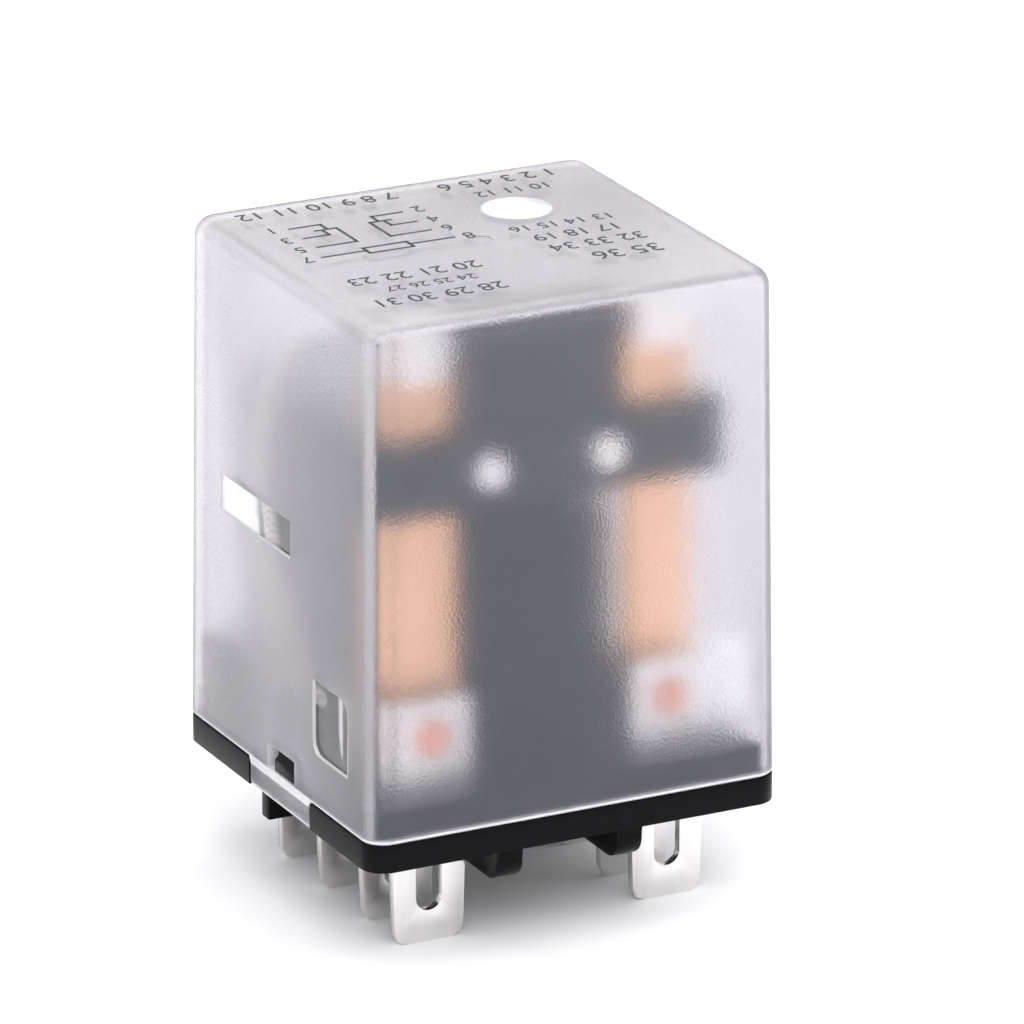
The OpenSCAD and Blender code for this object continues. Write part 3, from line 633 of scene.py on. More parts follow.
class RELAY_OT_case(Operator):
    """Builds the clear case with its latch tongues, windows and polished recesses"""

    bl_idname = "relay.case"
    bl_label = "Case"

    def execute(self, context):
        s = context.scene.relay_case
        seam = SEAT_Z + s.flange
        top = CASE_HIGH[Z] - s.ink
        width, depth = CASE_HIGH[X] - CASE_LOW[X], CASE_HIGH[Y] - CASE_LOW[Y]
        case = block("clear_case", (CASE_LOW[X], CASE_LOW[Y], seam), (CASE_HIGH[X], CASE_HIGH[Y], top))
        shrink = (1 - 2 * s.lean / width, 1 - 2 * s.lean / depth, 1)
        resize(case, on(Z, top), shrink)
        bevel(case, along(Z), s.corner, 10)
        bevel(case, on(Z, top), s.top_edge, 8)
        near, far = s.tongue_middle - s.tongue_width / 2, s.tongue_middle + s.tongue_width / 2
        for y in (near, far):
            split(case, Y, y)
        under = all_of(on(Z, seam), beyond(Y, near), beyond(Y, far, -1))
        extrude(case, under, (0, 0, CASE_LOW[Z] - seam))
        coat(case, *(f"{name}_polycarbonate" for name in ("frosted", "inner", "cut", "polished")))
        combine(case, "DIFFERENCE", self.cavity(s, top, shrink))
        bevel(case, beyond(Z, seam, -1), s.rim, 3)
        # Painted highlight: the faces of the rounded rim take the milky white finish.
        paint(case, PAINTED_HIGHLIGHT_FACES, all_of(beyond(Z, seam + s.rim, -1), shallow(Z, 1.5 * s.rim)))
        pane = (s.pane_front, s.pane_bottom, s.pane_width, s.pane_height, s.pane_round)
        panel = (s.panel_front, s.panel_bottom, s.panel_width, s.panel_height, 0)
        for side in SIDES.values():
            self.latch_window(s, case, side)
            self.polished_spot(s, case, side, seam, top, *pane)
            self.polished_spot(s, case, side, seam, top, *panel)
        # The round mark takes the milky white finish, a painted highlight for the bright room that it
        # reflects.
        mark = rod("mark", (s.mark_x, s.mark_y, top - s.recess), Z, PAST, s.mark, 64)
        coat(mark, "cut_polycarbonate")
        gate = rod("gate", (0, 0, top - s.recess / 3), Z, PAST, s.gate, 32)
        coat(gate, "frosted_polycarbonate")
        combine(case, "DIFFERENCE", mark, gate)
        place(case, "base", ["cover"], "polycarbonate", smooth=30)
        return {"FINISHED"}

    def cavity(self, s, top, shrink):
        """Cutter for the inside, whose edges are tighter than the outside's."""
        inset = Vector((s.wall, s.wall, 0))
        ceiling = top - s.wall
        low, high = CASE_LOW + inset, CASE_HIGH - inset
        room = block("cavity", (low[X], low[Y], low[Z] - PAST), (high[X], high[Y], ceiling))
        resize(room, on(Z, ceiling), shrink)
        bevel(room, any_of(along(Z), on(Z, ceiling)), s.inner_corner, 4)
        return coat(room, "inner_polycarbonate")

    def latch_window(self, s, case, side):
        """Cuts the window that the base's snap lug shows through."""
        low, high = outward(side, CASE_HIGH[X] - 2 * s.wall, CASE_HIGH[X] + PAST)
        front, bottom = CASE_LOW[Y] + s.latch_front, SEAT_Z + s.latch_bottom
        window = block("window", (low, front, bottom), (high, front + s.latch_width, bottom + s.latch_height))
        bevel(window, along(X), 0.15 * MM)
        # The window's walls take the milky white finish, a painted highlight.
        combine(case, "DIFFERENCE", coat(window, "cut_polycarbonate"))

    def polished_spot(self, s, case, side, seam, top, front, bottom, width, height, corner):
        """Sinks a polished spot into one side, round at its upper front and lower back corner if asked."""
        lean = s.lean * (SEAT_Z + bottom + height / 2 - seam) / (top - seam)
        floor = CASE_HIGH[X] - lean - s.recess
        low, high = outward(side, floor, CASE_HIGH[X] + PAST)
        front, bottom = CASE_LOW[Y] + front, SEAT_Z + bottom
        spot = block("spot", (low, front, bottom), (high, front + width, bottom + height))
        if corner:
            bevel(spot, all_of(along(X), on(Y, front), on(Z, bottom + height)), corner, 8)
            bevel(spot, all_of(along(X), on(Y, front + width), on(Z, bottom)), corner, 8)
        # The recess's walls take the milky white finish, a painted highlight; its floor is then made
        # polished.
        combine(case, "DIFFERENCE", coat(spot, "cut_polycarbonate"))
        across = all_of(beyond(Y, front), beyond(Y, front + width, -1))
        upright = all_of(beyond(Z, bottom), beyond(Z, bottom + height, -1))
        paint(case, POLISHED_FACES, all_of(on(X, side * floor), across, upright))


class RELAY_OT_base(Operator):
    """Builds the black base with its flange, plinth, lugs, ribs, rear wall and barrier"""

    bl_idname = "relay.base"
    bl_label = "Base"

    def execute(self, context):
        s, c = context.scene.relay_base, context.scene.relay_case
        low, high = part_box("base")
        seam = SEAT_Z + c.flange
        floor = seam + s.plinth
        base = block("base_moulding", (low[X], low[Y], SEAT_Z), (high[X], high[Y], seam))
        bevel(base, along(Z), c.corner, 10)
        bevel(base, on(Z, SEAT_Z), s.edge / 3)
        bevel(base, on(Z, seam), s.edge / 2)
        inset = c.wall + s.gap
        step = Vector((inset, inset, 0))
        foot, crown = low + step, high - step
        plinth = block("plinth", (foot[X], foot[Y], SEAT_Z + s.edge), (crown[X], crown[Y], floor))
        bevel(plinth, along(Z), c.corner - inset, 6)
        bevel(plinth, on(Z, floor), s.edge)
        combine(base, "UNION", plinth)
        for side in SIDES.values():
            notch_low, notch_high = outward(side, high[X] - inset, high[X] + PAST)
            notch = block(
                "notch",
                (notch_low, c.tongue_middle - c.tongue_width / 2 - s.slot_gap, SEAT_Z - PAST),
                (notch_high, c.tongue_middle + c.tongue_width / 2 + s.slot_gap, seam + 0.5 * MM),
            )
            combine(base, "DIFFERENCE", notch)
            combine(base, "UNION", self.lug(s, c, side, high[X] - inset), self.long_rib(s, side, low))
        rows = [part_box(f"{row}_terminal_left") for row in ("com", "coil")]
        y = sum(corner[Y] for row in rows for corner in row) / 4
        cross = block(
            "cross_rib",
            (low[X] + 1.5 * MM, y - s.cross_thick / 2, low[Z]),
            (high[X] - 1.5 * MM, y + s.cross_thick / 2, SEAT_Z + s.edge),
        )
        bevel(cross, everything, MOULDED)
        rear_back = high[Y] - inset - s.edge
        rear = block(
            "rear_wall",
            (low[X] + inset + 2 * s.edge, rear_back - s.rear_thick, floor - s.edge),
            (high[X] - inset - 2 * s.edge, rear_back, floor + s.rear_height),
        )
        bevel(rear, all_of(along(X, Y), on(Z, floor + s.rear_height)), 0.25 * MM)
        combine(base, "UNION", cross, rear, self.barrier(s, floor, high[Z]))
        half_w = context.scene.relay_contacts.tab_width / 2 + s.slot_gap
        for row in ("nc", "no", "com", "coil"):
            for side in SIDES:
                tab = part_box(f"{row}_terminal_{side}")
                x, y = middle(tab, X, Y)
                half_t = (tab[1][Y] - tab[0][Y]) / 2 + s.slot_gap
                slot_top = floor + 2 * TUCK
                slot = block("slot", (x - half_w, y - half_t, low[Z]), (x + half_w, y + half_t, slot_top))
                combine(base, "DIFFERENCE", slot)
        y, = middle(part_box("core"), Y)
        recess = rod("recess", (0, y, low[Z] - PAST), Z, SEAT_Z - low[Z] + 3 * MM, s.screw_recess, 48)
        hole = rod("hole", (0, y, SEAT_Z), Z, 8 * MM, s.screw_hole, 32)
        combine(base, "DIFFERENCE", recess, hole)
        place(base, "base", ["base"], "base_plastic", "black_nylon", smooth=35)
        return {"FINISHED"}

    def lug(self, s, c, side, wall):
        """Snap lug behind a latch window: flat below and sloped above."""
        front = CASE_LOW[Y] + c.latch_front + 0.3 * MM
        bottom = SEAT_Z + c.latch_bottom + 0.1 * MM
        tall = c.latch_height - 0.3 * MM
        reach = c.wall + s.gap - 0.1 * MM
        low_x, high_x = outward(side, wall - 0.5 * MM, wall + reach)
        lug = block("lug", (low_x, front, bottom), (high_x, front + c.latch_width - 1.5 * MM, bottom + tall))
        outer = on(X, side * (wall + reach))
        bevel(lug, all_of(along(Y), outer, on(Z, bottom + tall)), reach * 0.95, 1)
        return bevel(lug, outer, STAMPED)

    def long_rib(self, s, side, low):
        """Rib under the base that runs front to back, with a round lower front corner."""
        x = side * s.rib_gap / 2
        front = low[Y] + s.rib_front
        rib = block(
            "long_rib",
            (x - s.rib_thick / 2, front, low[Z]),
            (x + s.rib_thick / 2, front + (CASE_HIGH[Y] - CASE_LOW[Y]) - 6 * MM, SEAT_Z + s.edge),
        )
        bevel(rib, all_of(along(X), on(Y, front), on(Z, low[Z])), s.rib_round, 8)
        return bevel(rib, beyond(Z, SEAT_Z, -1), MOULDED)

    def barrier(self, s, floor, top):
        """U-shaped barrier that stands between the poles, open towards the coil."""
        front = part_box("moving_spring_left")[1][Y] + 0.9 * MM
        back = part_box("bobbin")[0][Y] - 0.3 * MM
        half = s.barrier_width / 2
        wall = block("barrier", (-half, front, floor - s.edge), (half, back, top))
        inner = half - s.barrier_wall
        room = block("room", (-inner, front + s.barrier_wall, floor), (inner, back + PAST, top + PAST))
        combine(wall, "DIFFERENCE", room)
        return bevel(wall, all_of(along(X, Y), on(Z, top)), MOULDED)


# ---- Contact set ----


def tab_hole(s, x, y, thick):
    """Cutter for the long hole in a tab."""
    half, top = s.slot_width / 2, s.slot_tip + s.slot_length
    hole = block("long_hole", (x - half, y - thick, s.slot_tip), (x + half, y + thick, top))
    return bevel(hole, along(Y), half - CLOSE, 10)


def blade(name, s, node, floor, top):
    """Terminal: a tab below the base and a wider blade with round shoulders inside."""
    low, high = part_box(node)
    x, y = middle((low, high), X, Y)
    half_w, half_t = s.tab_width / 2, (high[Y] - low[Y]) / 2
    piece = block(name, (x - half_w, low[Y], low[Z]), (x + half_w, high[Y], floor))
    bevel(piece, all_of(along(Y), on(Z, low[Z])), s.tab_corner)
    step = 0.01 * MM
    level = on(Z, floor + step)
    extrude(piece, on(Z, floor), (0, 0, step))
    resize(piece, level, (1 + s.shoulder / half_w, 1, 1))
    extrude(piece, level, (0, 0, top - floor - step))
    bevel(piece, all_of(along(Y), on(Z, top)), s.blade_round, 4)
    return combine(piece, "DIFFERENCE", tab_hole(s, x, y, 2 * half_t))


class RELAY_OT_terminals(Operator):
    """Builds the eight plated terminals, four rows of two"""

    bl_idname = "relay.terminals"
    bl_label = "Terminals"

    def execute(self, context):
        s = context.scene.relay_contacts
        floor = SEAT_Z + context.scene.relay_case.flange + context.scene.relay_base.plinth
        for row in ("nc", "no", "com", "coil"):
            low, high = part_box(f"{row}_terminal_left")
            with_ear = row in ("com", "coil")
            top = floor + s.ear_step if with_ear else high[Z]
            piece = blade(f"{row}_blade_left", s, f"{row}_terminal_left", floor, top)
            if with_ear:
                ear = block("ear", (low[X], low[Y], top - 1 * MM), (low[X] + s.ear, high[Y], high[Z]))
                bevel(ear, all_of(along(Y), on(Z, high[Z])), 0.1 * MM)
                combine(piece, "UNION", ear)
            soften(piece, STAMPED)
            place_pair(piece, "base", f"{row}_terminal", "tinned_brass", "tin_plated_brass")
        return {"FINISHED"}


def head(name, start, axis, span, diameter, crown):
    """Round head with a rounded far rim, from the middle of its near face."""
    return bevel(rod(name, start, axis, span, diameter), on(axis, start[axis] + span), crown, 5)


class RELAY_OT_contacts(Operator):
    """Builds the fixed contacts on their blades and the moving contacts on the springs"""

    bl_idname = "relay.contacts"
    bl_label = "Contacts"

    def execute(self, context):
        s = context.scene.relay_contacts
        finishes = ("silver_alloy", "silver_contact", "copper_rivet")
        z = s.contact_level
        for kind, nose in (("nc", 1), ("no", -1)):
            low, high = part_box(f"{kind}_contact_left")[::nose]
            back, near = (corner[Y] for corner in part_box(f"{kind}_terminal_left")[::nose])
            x, = middle((low, high), X)
            piece = head(f"{kind}_contact_piece_left", (x, near, z), Y, high[Y] - near, s.contact, HEADED)
            start = (x, min(near, back) - TUCK / 2, z)
            shank = rod("shank", start, Y, abs(near - back) + TUCK, s.shank, 32)
            tail = head("tail", (x, back, z), Y, low[Y] - back, s.tail, HEADED)
            combine(piece, "UNION", shank, tail)
            for obj in place_pair(piece, "base", f"{kind}_contact", *finishes):
                paint(obj, 1, beyond(Y, near, -nose))
        low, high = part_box("moving_contact_left")
        front, back = (corner[Y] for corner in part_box("moving_spring_left"))
        x, = middle((low, high), X)
        piece = head("moving_contact_piece_left", (x, front, z), Y, low[Y] - front, s.contact, MOULDED)
        shank = rod("shank", (x, front - TUCK / 2, z), Y, back - front + TUCK, s.shank)
        rear = head("rear", (x, back, z), Y, high[Y] - back, s.contact, MOULDED)
        combine(piece, "UNION", shank, rear)
        place_pair(piece, "armature", "moving_contact", *finishes)
        return {"FINISHED"}


class RELAY_OT_springs(Operator):
    """Builds the two moving springs and the tags folded over their tops"""

    bl_idname = "relay.springs"
    bl_label = "Springs and tags"

    def execute(self, context):
        s = context.scene.relay_contacts
        low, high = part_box("moving_spring_left")
        spring = block("contact_spring_left", low, high)
        bevel(spring, all_of(along(Y), on(Z, low[Z])), s.spring_tip, 6)
        bevel(spring, all_of(along(Y), on(Z, high[Z])), 0.5 * MM, 3)
        soften(spring, 0.06 * MM)
        place_pair(spring, "armature", "moving_spring", "spring_copper", "rolled_copper")
        tag_low, tag_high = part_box("lead_tag_left")
        thick = tag_high[Y] - high[Y]
        tag = block("solder_tag_left", (tag_low[X], high[Y], tag_low[Z]), tag_high)
        bevel(tag, all_of(along(Y), on(Z, tag_low[Z])), 0.8 * MM, 4)
        fold, flap = tag_high[Z] - thick, tag_low[Y] + thick
        split(tag, Z, fold)
        extrude(tag, all_of(on(Y, high[Y]), beyond(Z, fold)), (0, flap - high[Y], 0))
        extrude(tag, all_of(on(Y, flap), beyond(Z, fold)), (0, -thick, 0))
        extrude(tag, all_of(on(Z, fold), beyond(Y, flap, -1)), (0, 0, thick - s.flap))
        soften(tag, 0.12 * MM, 3)
        place_pair(tag, "armature", "lead_tag", "tinned_brass", "tin_plated_brass")
        return {"FINISHED"}


class RELAY_OT_carrier(Operator):
    """Builds the black carrier that grips the springs, and its two rivets"""

    bl_idname = "relay.carrier"
    bl_label = "Carrier and rivets"

    def execute(self, context):
        s = context.scene.relay_contacts
        low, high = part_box("carrier")
        bar_top = low[Z] + s.bar_height
        carrier = block("spring_carrier", low, (high[X], high[Y], bar_top))
        bevel(carrier, everything, s.bar_round, 3)
        half, front = s.upright / 2, low[Y] + s.upright_step
        upright = block("upright", (-half, front, low[Z] + 0.5 * MM), (half, high[Y], high[Z]))
        bevel(upright, all_of(along(Y), on(Z, high[Z])), s.upright_round, 4)
        bevel(upright, all_of(along(Z), on(Y, front)), 0.3 * MM)
        combine(carrier, "UNION", upright)
        gap = context.scene.relay_base.slot_gap
        for side in SIDES:
            spring_low, spring_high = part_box(f"moving_spring_{side}")
            slot = block(
                "slot",
                (spring_low[X] - gap, spring_low[Y] - gap, low[Z] - PAST),
                (spring_high[X] + gap, spring_high[Y] + gap, bar_top + PAST),
            )
            combine(carrier, "DIFFERENCE", slot)
        place(carrier, "armature", ["carrier"], "carrier_plastic", "black_carrier")
        rivet_low, rivet_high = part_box("carrier_rivets")
        z, = middle((rivet_low, rivet_high), Z)
        rivets = []
        for side in SIDES.values():
            x = side * s.rivet_pitch / 2
            dome = head("domed_rivets", (x, low[Y], z), Y, rivet_low[Y] - low[Y], s.rivet, s.rivet_crown)
            back, thick = rivet_high[Y], 0.5 * MM
            shank = rod("shank", (x, low[Y] - TUCK, z), Y, back - low[Y] - 0.3 * MM, s.rivet_shank, 32)
            tail = head("tail", (x, back - thick, z), Y, thick, s.rivet_tail, MOULDED)
            rivets.append(combine(dome, "UNION", shank, tail))
        place(join(rivets, "domed_rivets"), "armature", ["carrier_rivets"], "soft_iron", "nickel_rivet")
        return {"FINISHED"}


# ---- Magnet ----


class RELAY_OT_armature(Operator):
    """Builds the bent armature, tilted on its hinge edge"""

    bl_idname = "relay.armature"
    bl_label = "Armature"

    def execute(self, context):
        s = context.scene.relay_magnet
        low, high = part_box("armature")
        hinge = Vector(HINGE["pos_m"])
        tilt = math.radians(HINGE["range_deg"][1])
        leg_back = low[Y] + s.leg
        reach = (hinge[Y] - leg_back) / math.cos(tilt) + s.leg / 2
        plate = block("armature_plate", (low[X], s.neck - reach, 0), (high[X], 0, s.plate))
        extrude(plate, on(Y, s.neck - reach), (0, -s.neck, 0))
        narrow = s.leg_width / (high[X] - low[X])
        resize(plate, on(Y, -reach), (narrow, 1, 1))
        bevel(plate, all_of(along(Z), on(Y, s.neck - reach)), s.neck_round, 4)
        tail = block("tail", (-s.tail_width / 2, -1 * MM, 0.6 * MM), (s.tail_width / 2, 1.5 * MM, s.plate))
        combine(plate, "UNION", tail)
        plate.rotation_euler[X] = -tilt
        plate.location = hinge
        focus(plate)
        bpy.ops.object.transform_apply(location=True, rotation=True, scale=True)
        top = hinge[Z] + (hinge[Y] - leg_back) * math.tan(tilt) + s.plate * math.cos(tilt)
        leg = block("leg", (-s.leg_width / 2, low[Y], low[Z]), (s.leg_width / 2, leg_back, top))
        bevel(leg, all_of(along(X), on(Y, low[Y]), on(Z, top)), s.bend, 6)
        bevel(leg, all_of(along(Y), on(Z, low[Z])), s.corner, 4)
        combine(plate, "UNION", leg)
        soften(plate, 0.12 * MM)
        place(plate, "armature", ["armature"], "soft_iron", "zinc_plated_steel")
        return {"FINISHED"}


class RELAY_OT_yoke(Operator):
    """Builds the yoke, a foot under the coil and a wide leg behind it"""

    bl_idname = "relay.yoke"
    bl_label = "Yoke"

    def execute(self, context):
        s = context.scene.relay_magnet
        low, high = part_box("yoke")
        back = HINGE["pos_m"][Y]
        front = back - s.yoke
        wide = low[Z] + s.yoke_rise
        leg = block("yoke_frame", (low[X], front, wide), (high[X], back, high[Z]))
        bevel(leg, all_of(along(Y), on(Z, wide)), 1.2 * MM, 4)
        half = s.yoke_foot / 2
        riser = block("riser", (-half, front, low[Z]), (half, back, wide + 1 * MM))
        bevel(riser, all_of(along(X), on(Z, low[Z]), on(Y, back)), s.yoke_bend, 6)
        foot = block("foot", (-half, low[Y], low[Z]), (half, front + 0.5 * MM, low[Z] + s.yoke))
        bevel(foot, all_of(along(Z), on(Y, low[Y])), s.corner, 4)
        half, top = s.hook / 2, high[Z] - s.hook_drop
        hook = block("hook", (-half, back - TUCK, top - 1 * MM), (half, back + s.hook_reach, top))
        combine(leg, "UNION", riser, foot, hook)
        soften(leg, 0.15 * MM)
        place(leg, "base", ["yoke"], "dark_iron", "blackened_iron")
        return {"FINISHED"}


class RELAY_OT_core(Operator):
    """Builds the core with its pole face, the copper shading ring and the screw below"""

    bl_idname = "relay.core"
    bl_label = "Core, ring and screw"

    def execute(self, context):
        s = context.scene.relay_magnet
        low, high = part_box("core")
        y, = middle((low, high), Y)
        pole_bottom = high[Z] - s.pole
        pole = rod("iron_core", (0, y, pole_bottom), Z, s.pole, high[X] - low[X], 64)
        bevel(pole, on(Z, high[Z]), 0.3 * MM, 3)
        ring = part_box("shading_ring")
        bottom, top = ring[0][Z], ring[1][Z]
        groove = self.d_shape("groove", y, ring, -0.05 * MM, bottom - 0.05 * MM, bottom + 1.95 * MM)
        combine(groove, "DIFFERENCE", self.d_shape("island", y, ring, s.ring, bottom - PAST, top + 3 * MM))
        shank = rod("shank", (0, y, low[Z] + s.yoke), Z, pole_bottom - low[Z] - s.yoke + TUCK, s.core, 48)
        stem = rod("stem", (0, y, low[Z]), Z, s.yoke + 2 * TUCK, s.stem, 32)
        combine(pole, "DIFFERENCE", groove)
        combine(pole, "UNION", shank, stem)
        place(pole, "base", ["core"], "soft_iron", "zinc_plated_steel")
        copper = self.d_shape("copper_ring", y, ring, 0, bottom, top)
        combine(copper, "DIFFERENCE", self.d_shape("hollow", y, ring, s.ring, bottom - PAST, top + PAST))
        soften(copper, STAMPED)
        place(copper, "base", ["shading_ring"], "spring_copper", "copper_rivet")
        self.screw(s, y)
        return {"FINISHED"}

    def d_shape(self, name, y, ring, inset, bottom, top):
        """Upright D, a round bar sliced flat in front, further in than the ring by the inset."""
        low, high = ring
        bar = rod(name, (0, y, bottom), Z, top - bottom, high[X] - low[X] - 2 * inset, 64)
        return split(bar, Y, low[Y] + inset, clear_inner=True, use_fill=True)

    def screw(self, s, y):
        """Pan-head screw with a cross recess, driven from below."""
        low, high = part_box("core_screw")
        under = low[Z] + s.screw_head
        pan = rod("pan_screw", (0, y, low[Z]), Z, s.screw_head, high[X] - low[X], 48)
        bevel(pan, on(Z, low[Z]), 0.8 * MM, 6)
        stem = rod("stem", (0, y, under - TUCK), Z, high[Z] - under + TUCK, s.screw, 32)
        bevel(stem, on(Z, high[Z]), 0.4 * MM)
        arms = [
            block("arm", (-a / 2, y - b / 2, low[Z] - PAST), (a / 2, y + b / 2, low[Z] + s.cross_depth))
            for a, b in ((s.cross, s.cross_slot), (s.cross_slot, s.cross))
        ]
        combine(pan, "UNION", stem)
        combine(pan, "DIFFERENCE", *arms)
        place(pan, "base", ["core_screw"], "soft_iron", "zinc_plated_steel")


class RELAY_OT_coil(Operator):
    """Builds the bobbin, the winding and the tape round it"""

    bl_idname = "relay.coil"
    bl_label = "Coil"

    def execute(self, context):
        s = context.scene.relay_magnet
        low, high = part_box("bobbin")
        y, = middle((low, high), Y)
        tall = high[Z] - low[Z]
        bobbin = rod("coil_bobbin", (0, y, low[Z] + 0.5 * MM), Z, tall - 1 * MM, s.core + 2.1 * MM, 48)
        for bottom in (low[Z], high[Z] - s.flange):
            flange = block("flange", (low[X], low[Y], bottom), (high[X], high[Y], bottom + s.flange))
            bevel(flange, along(Z), 2 * MM, 8)
            bevel(flange, along(X, Y), MOULDED)
            combine(bobbin, "UNION", flange)
        bore = rod("bore", (0, y, low[Z] - PAST), Z, tall + 2 * PAST, s.core + 0.1 * MM, 48)
        combine(bobbin, "DIFFERENCE", bore)
        place(bobbin, "base", ["bobbin"], "bobbin_nylon", "bobbin_nylon")
        wire_low, wire_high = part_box("coil_winding")
        winding = block("wound_wire", wire_low, wire_high)
        bevel(winding, along(Z), s.winding_round, 10)
        bevel(winding, along(X, Y), 0.3 * MM, 3)
        tall = wire_high[Z] - wire_low[Z]
        hole = rod("hole", (0, y, wire_low[Z] - PAST), Z, tall + 2 * PAST, s.core + 2.2 * MM, 48)
        combine(winding, "DIFFERENCE", hole)
        place(winding, "base", ["coil_winding"], "enamelled_copper", "enamelled_copper_wire")
        self.tape(s, y)
        return {"FINISHED"}

    def tape(self, s, y):
        """Two turns of tape round the winding, with the end of the last turn standing proud in front."""
        low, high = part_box("coil_tape")
        turn = Vector((0.12 * MM, 0.12 * MM, 0))
        tape = block("coil_wrap", low + turn, high - turn)
        bevel(tape, along(Z), s.tape_round, 10)
        band = block("band", low, (high[X], high[Y], (low[Z] + high[Z]) / 2 + 0.8 * MM))
        bevel(band, along(Z), s.tape_round + TUCK, 10)
        combine(tape, "UNION", band)
        wire_low, wire_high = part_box("coil_winding")
        gap = Vector((0.05 * MM, 0.05 * MM, PAST))
        room = block("room", wire_low - gap, wire_high + gap)
        bevel(room, along(Z), s.winding_round + 0.05 * MM, 10)
        combine(tape, "DIFFERENCE", room)
        place(tape, "base", ["coil_tape"], "coil_tape", "polyester_tape")


class RELAY_OT_return_spring(Operator):
    """Winds the return spring between the yoke's hook and the armature's tail"""

    bl_idname = "relay.return_spring"
    bl_label = "Return spring"

    def execute(self, context):
        s = context.scene.relay_magnet
        low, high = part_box("return_spring")
        x, y = middle((low, high), X, Y)
        radius = (high[X] - low[X] - s.wire) / 2
        bottom, top = low[Z] + s.wire / 2, high[Z] - s.wire / 2
        per_turn = 10
        count = s.turns * per_turn
        route = []
        for i in range(count + 1):
            angle = 2 * math.pi * i / per_turn
            height = bottom + (top - bottom) * i / count
            route.append((x + radius * math.cos(angle), y + radius * math.sin(angle), height))
        spring = wire("wound_return_spring", route, s.wire * 0.9, 8, 1)
        place(spring, None, ["return_spring"], "spring_steel", "drawn_spring_wire", smooth=60)
        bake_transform(spring)
        return {"FINISHED"}


# ---- Leads ----

FLEXIBLE_ROUTE = [
    (-13.0, 0.2, 18.2), (-13.0, 1.8, 18.4), (-13.2, 3.4, 19.1), (-13.8, 5.0, 21.0), (-14.4, 6.1, 23.6),
    (-14.8, 6.8, 26.4), (-15.0, 7.5, 29.8), (-15.0, 8.1, 33.4), (-15.0, 8.2, 37.2), (-15.0, 7.2, 41.4),
    (-15.0, 5.0, 45.2), (-14.8, 1.8, 48.4), (-14.2, -2.0, 50.6), (-13.3, -5.4, 51.8), (-12.5, -7.6, 52.1),
    (-12.0, -8.8, 51.6), (-11.8, -9.1, 50.4), (-11.8, -9.1, 49.0),
]
COIL_ROUTE = [
    (-13.4, 8.6, 16.9), (-13.3, 8.6, 17.9), (-13.1, 8.3, 18.9), (-12.6, 7.6, 19.8), (-12.1, 6.4, 20.4),
    (-11.7, 5.0, 20.8), (-11.7, 3.6, 21.0),
]


class RELAY_OT_leads(Operator):
    """Lays the flexible leads from the common terminals to the springs, and the coil's own leads"""

    bl_idname = "relay.leads"
    bl_label = "Leads"

    def execute(self, context):
        s = context.scene.relay_magnet
        for side, sign in SIDES.items():
            mirror = Vector((-sign * MM, MM, MM))
            route = [Vector(p) * mirror for p in FLEXIBLE_ROUTE]
            lead = wire(f"sleeved_lead_{side}", route, s.lead, 16, 5)
            place(lead, None, [f"flexible_lead_{side}"], "lead_sleeve", "woven_sleeve", smooth=60)
            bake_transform(lead)
            route = [Vector(p) * mirror for p in COIL_ROUTE]
            lead = wire(f"coil_wire_{side}", route, s.coil_lead, 12, 4)
            place(lead, "base", [f"coil_lead_{side}"], "enamelled_copper", "enamelled_copper_wire", smooth=60)
        return {"FINISHED"}


# ---- Print ----

# Rows of plain numbers: text, place across and along the top, and size, in millimetres.
ROWS = (
    ("1 2 3 4 5 6", 8.6, 14.1, 2.5), ("7 8 9 10 11 12", -8.2, 14.1, 2.5), ("10 11 12", 8.6, 11.0, 2.0),
    ("20 21 22 23", -8.7, -5.4, 2.5), ("24 25 26 27", -8.5, -8.2, 1.7), ("28 29 30 31", -9.2, -11.2, 2.5),
    ("13 14 15 16", 8.2, 1.2, 2.0), ("17 18 19", 8.2, -1.6, 2.3), ("32 33 34", 8.6, -4.6, 2.5),
    ("35 36", 9.6, -8.0, 2.8),
)
# Pin numbers of the diagram, with their places.
PINS = (
    ("1", -14.4, 9.8), ("2", -0.9, 9.8), ("3", -14.4, 6.9), ("4", -0.9, 6.9),
    ("5", -14.4, 4.2), ("6", -0.9, 4.2), ("7", -15.0, 1.6), ("8", -0.2, 1.6),
)


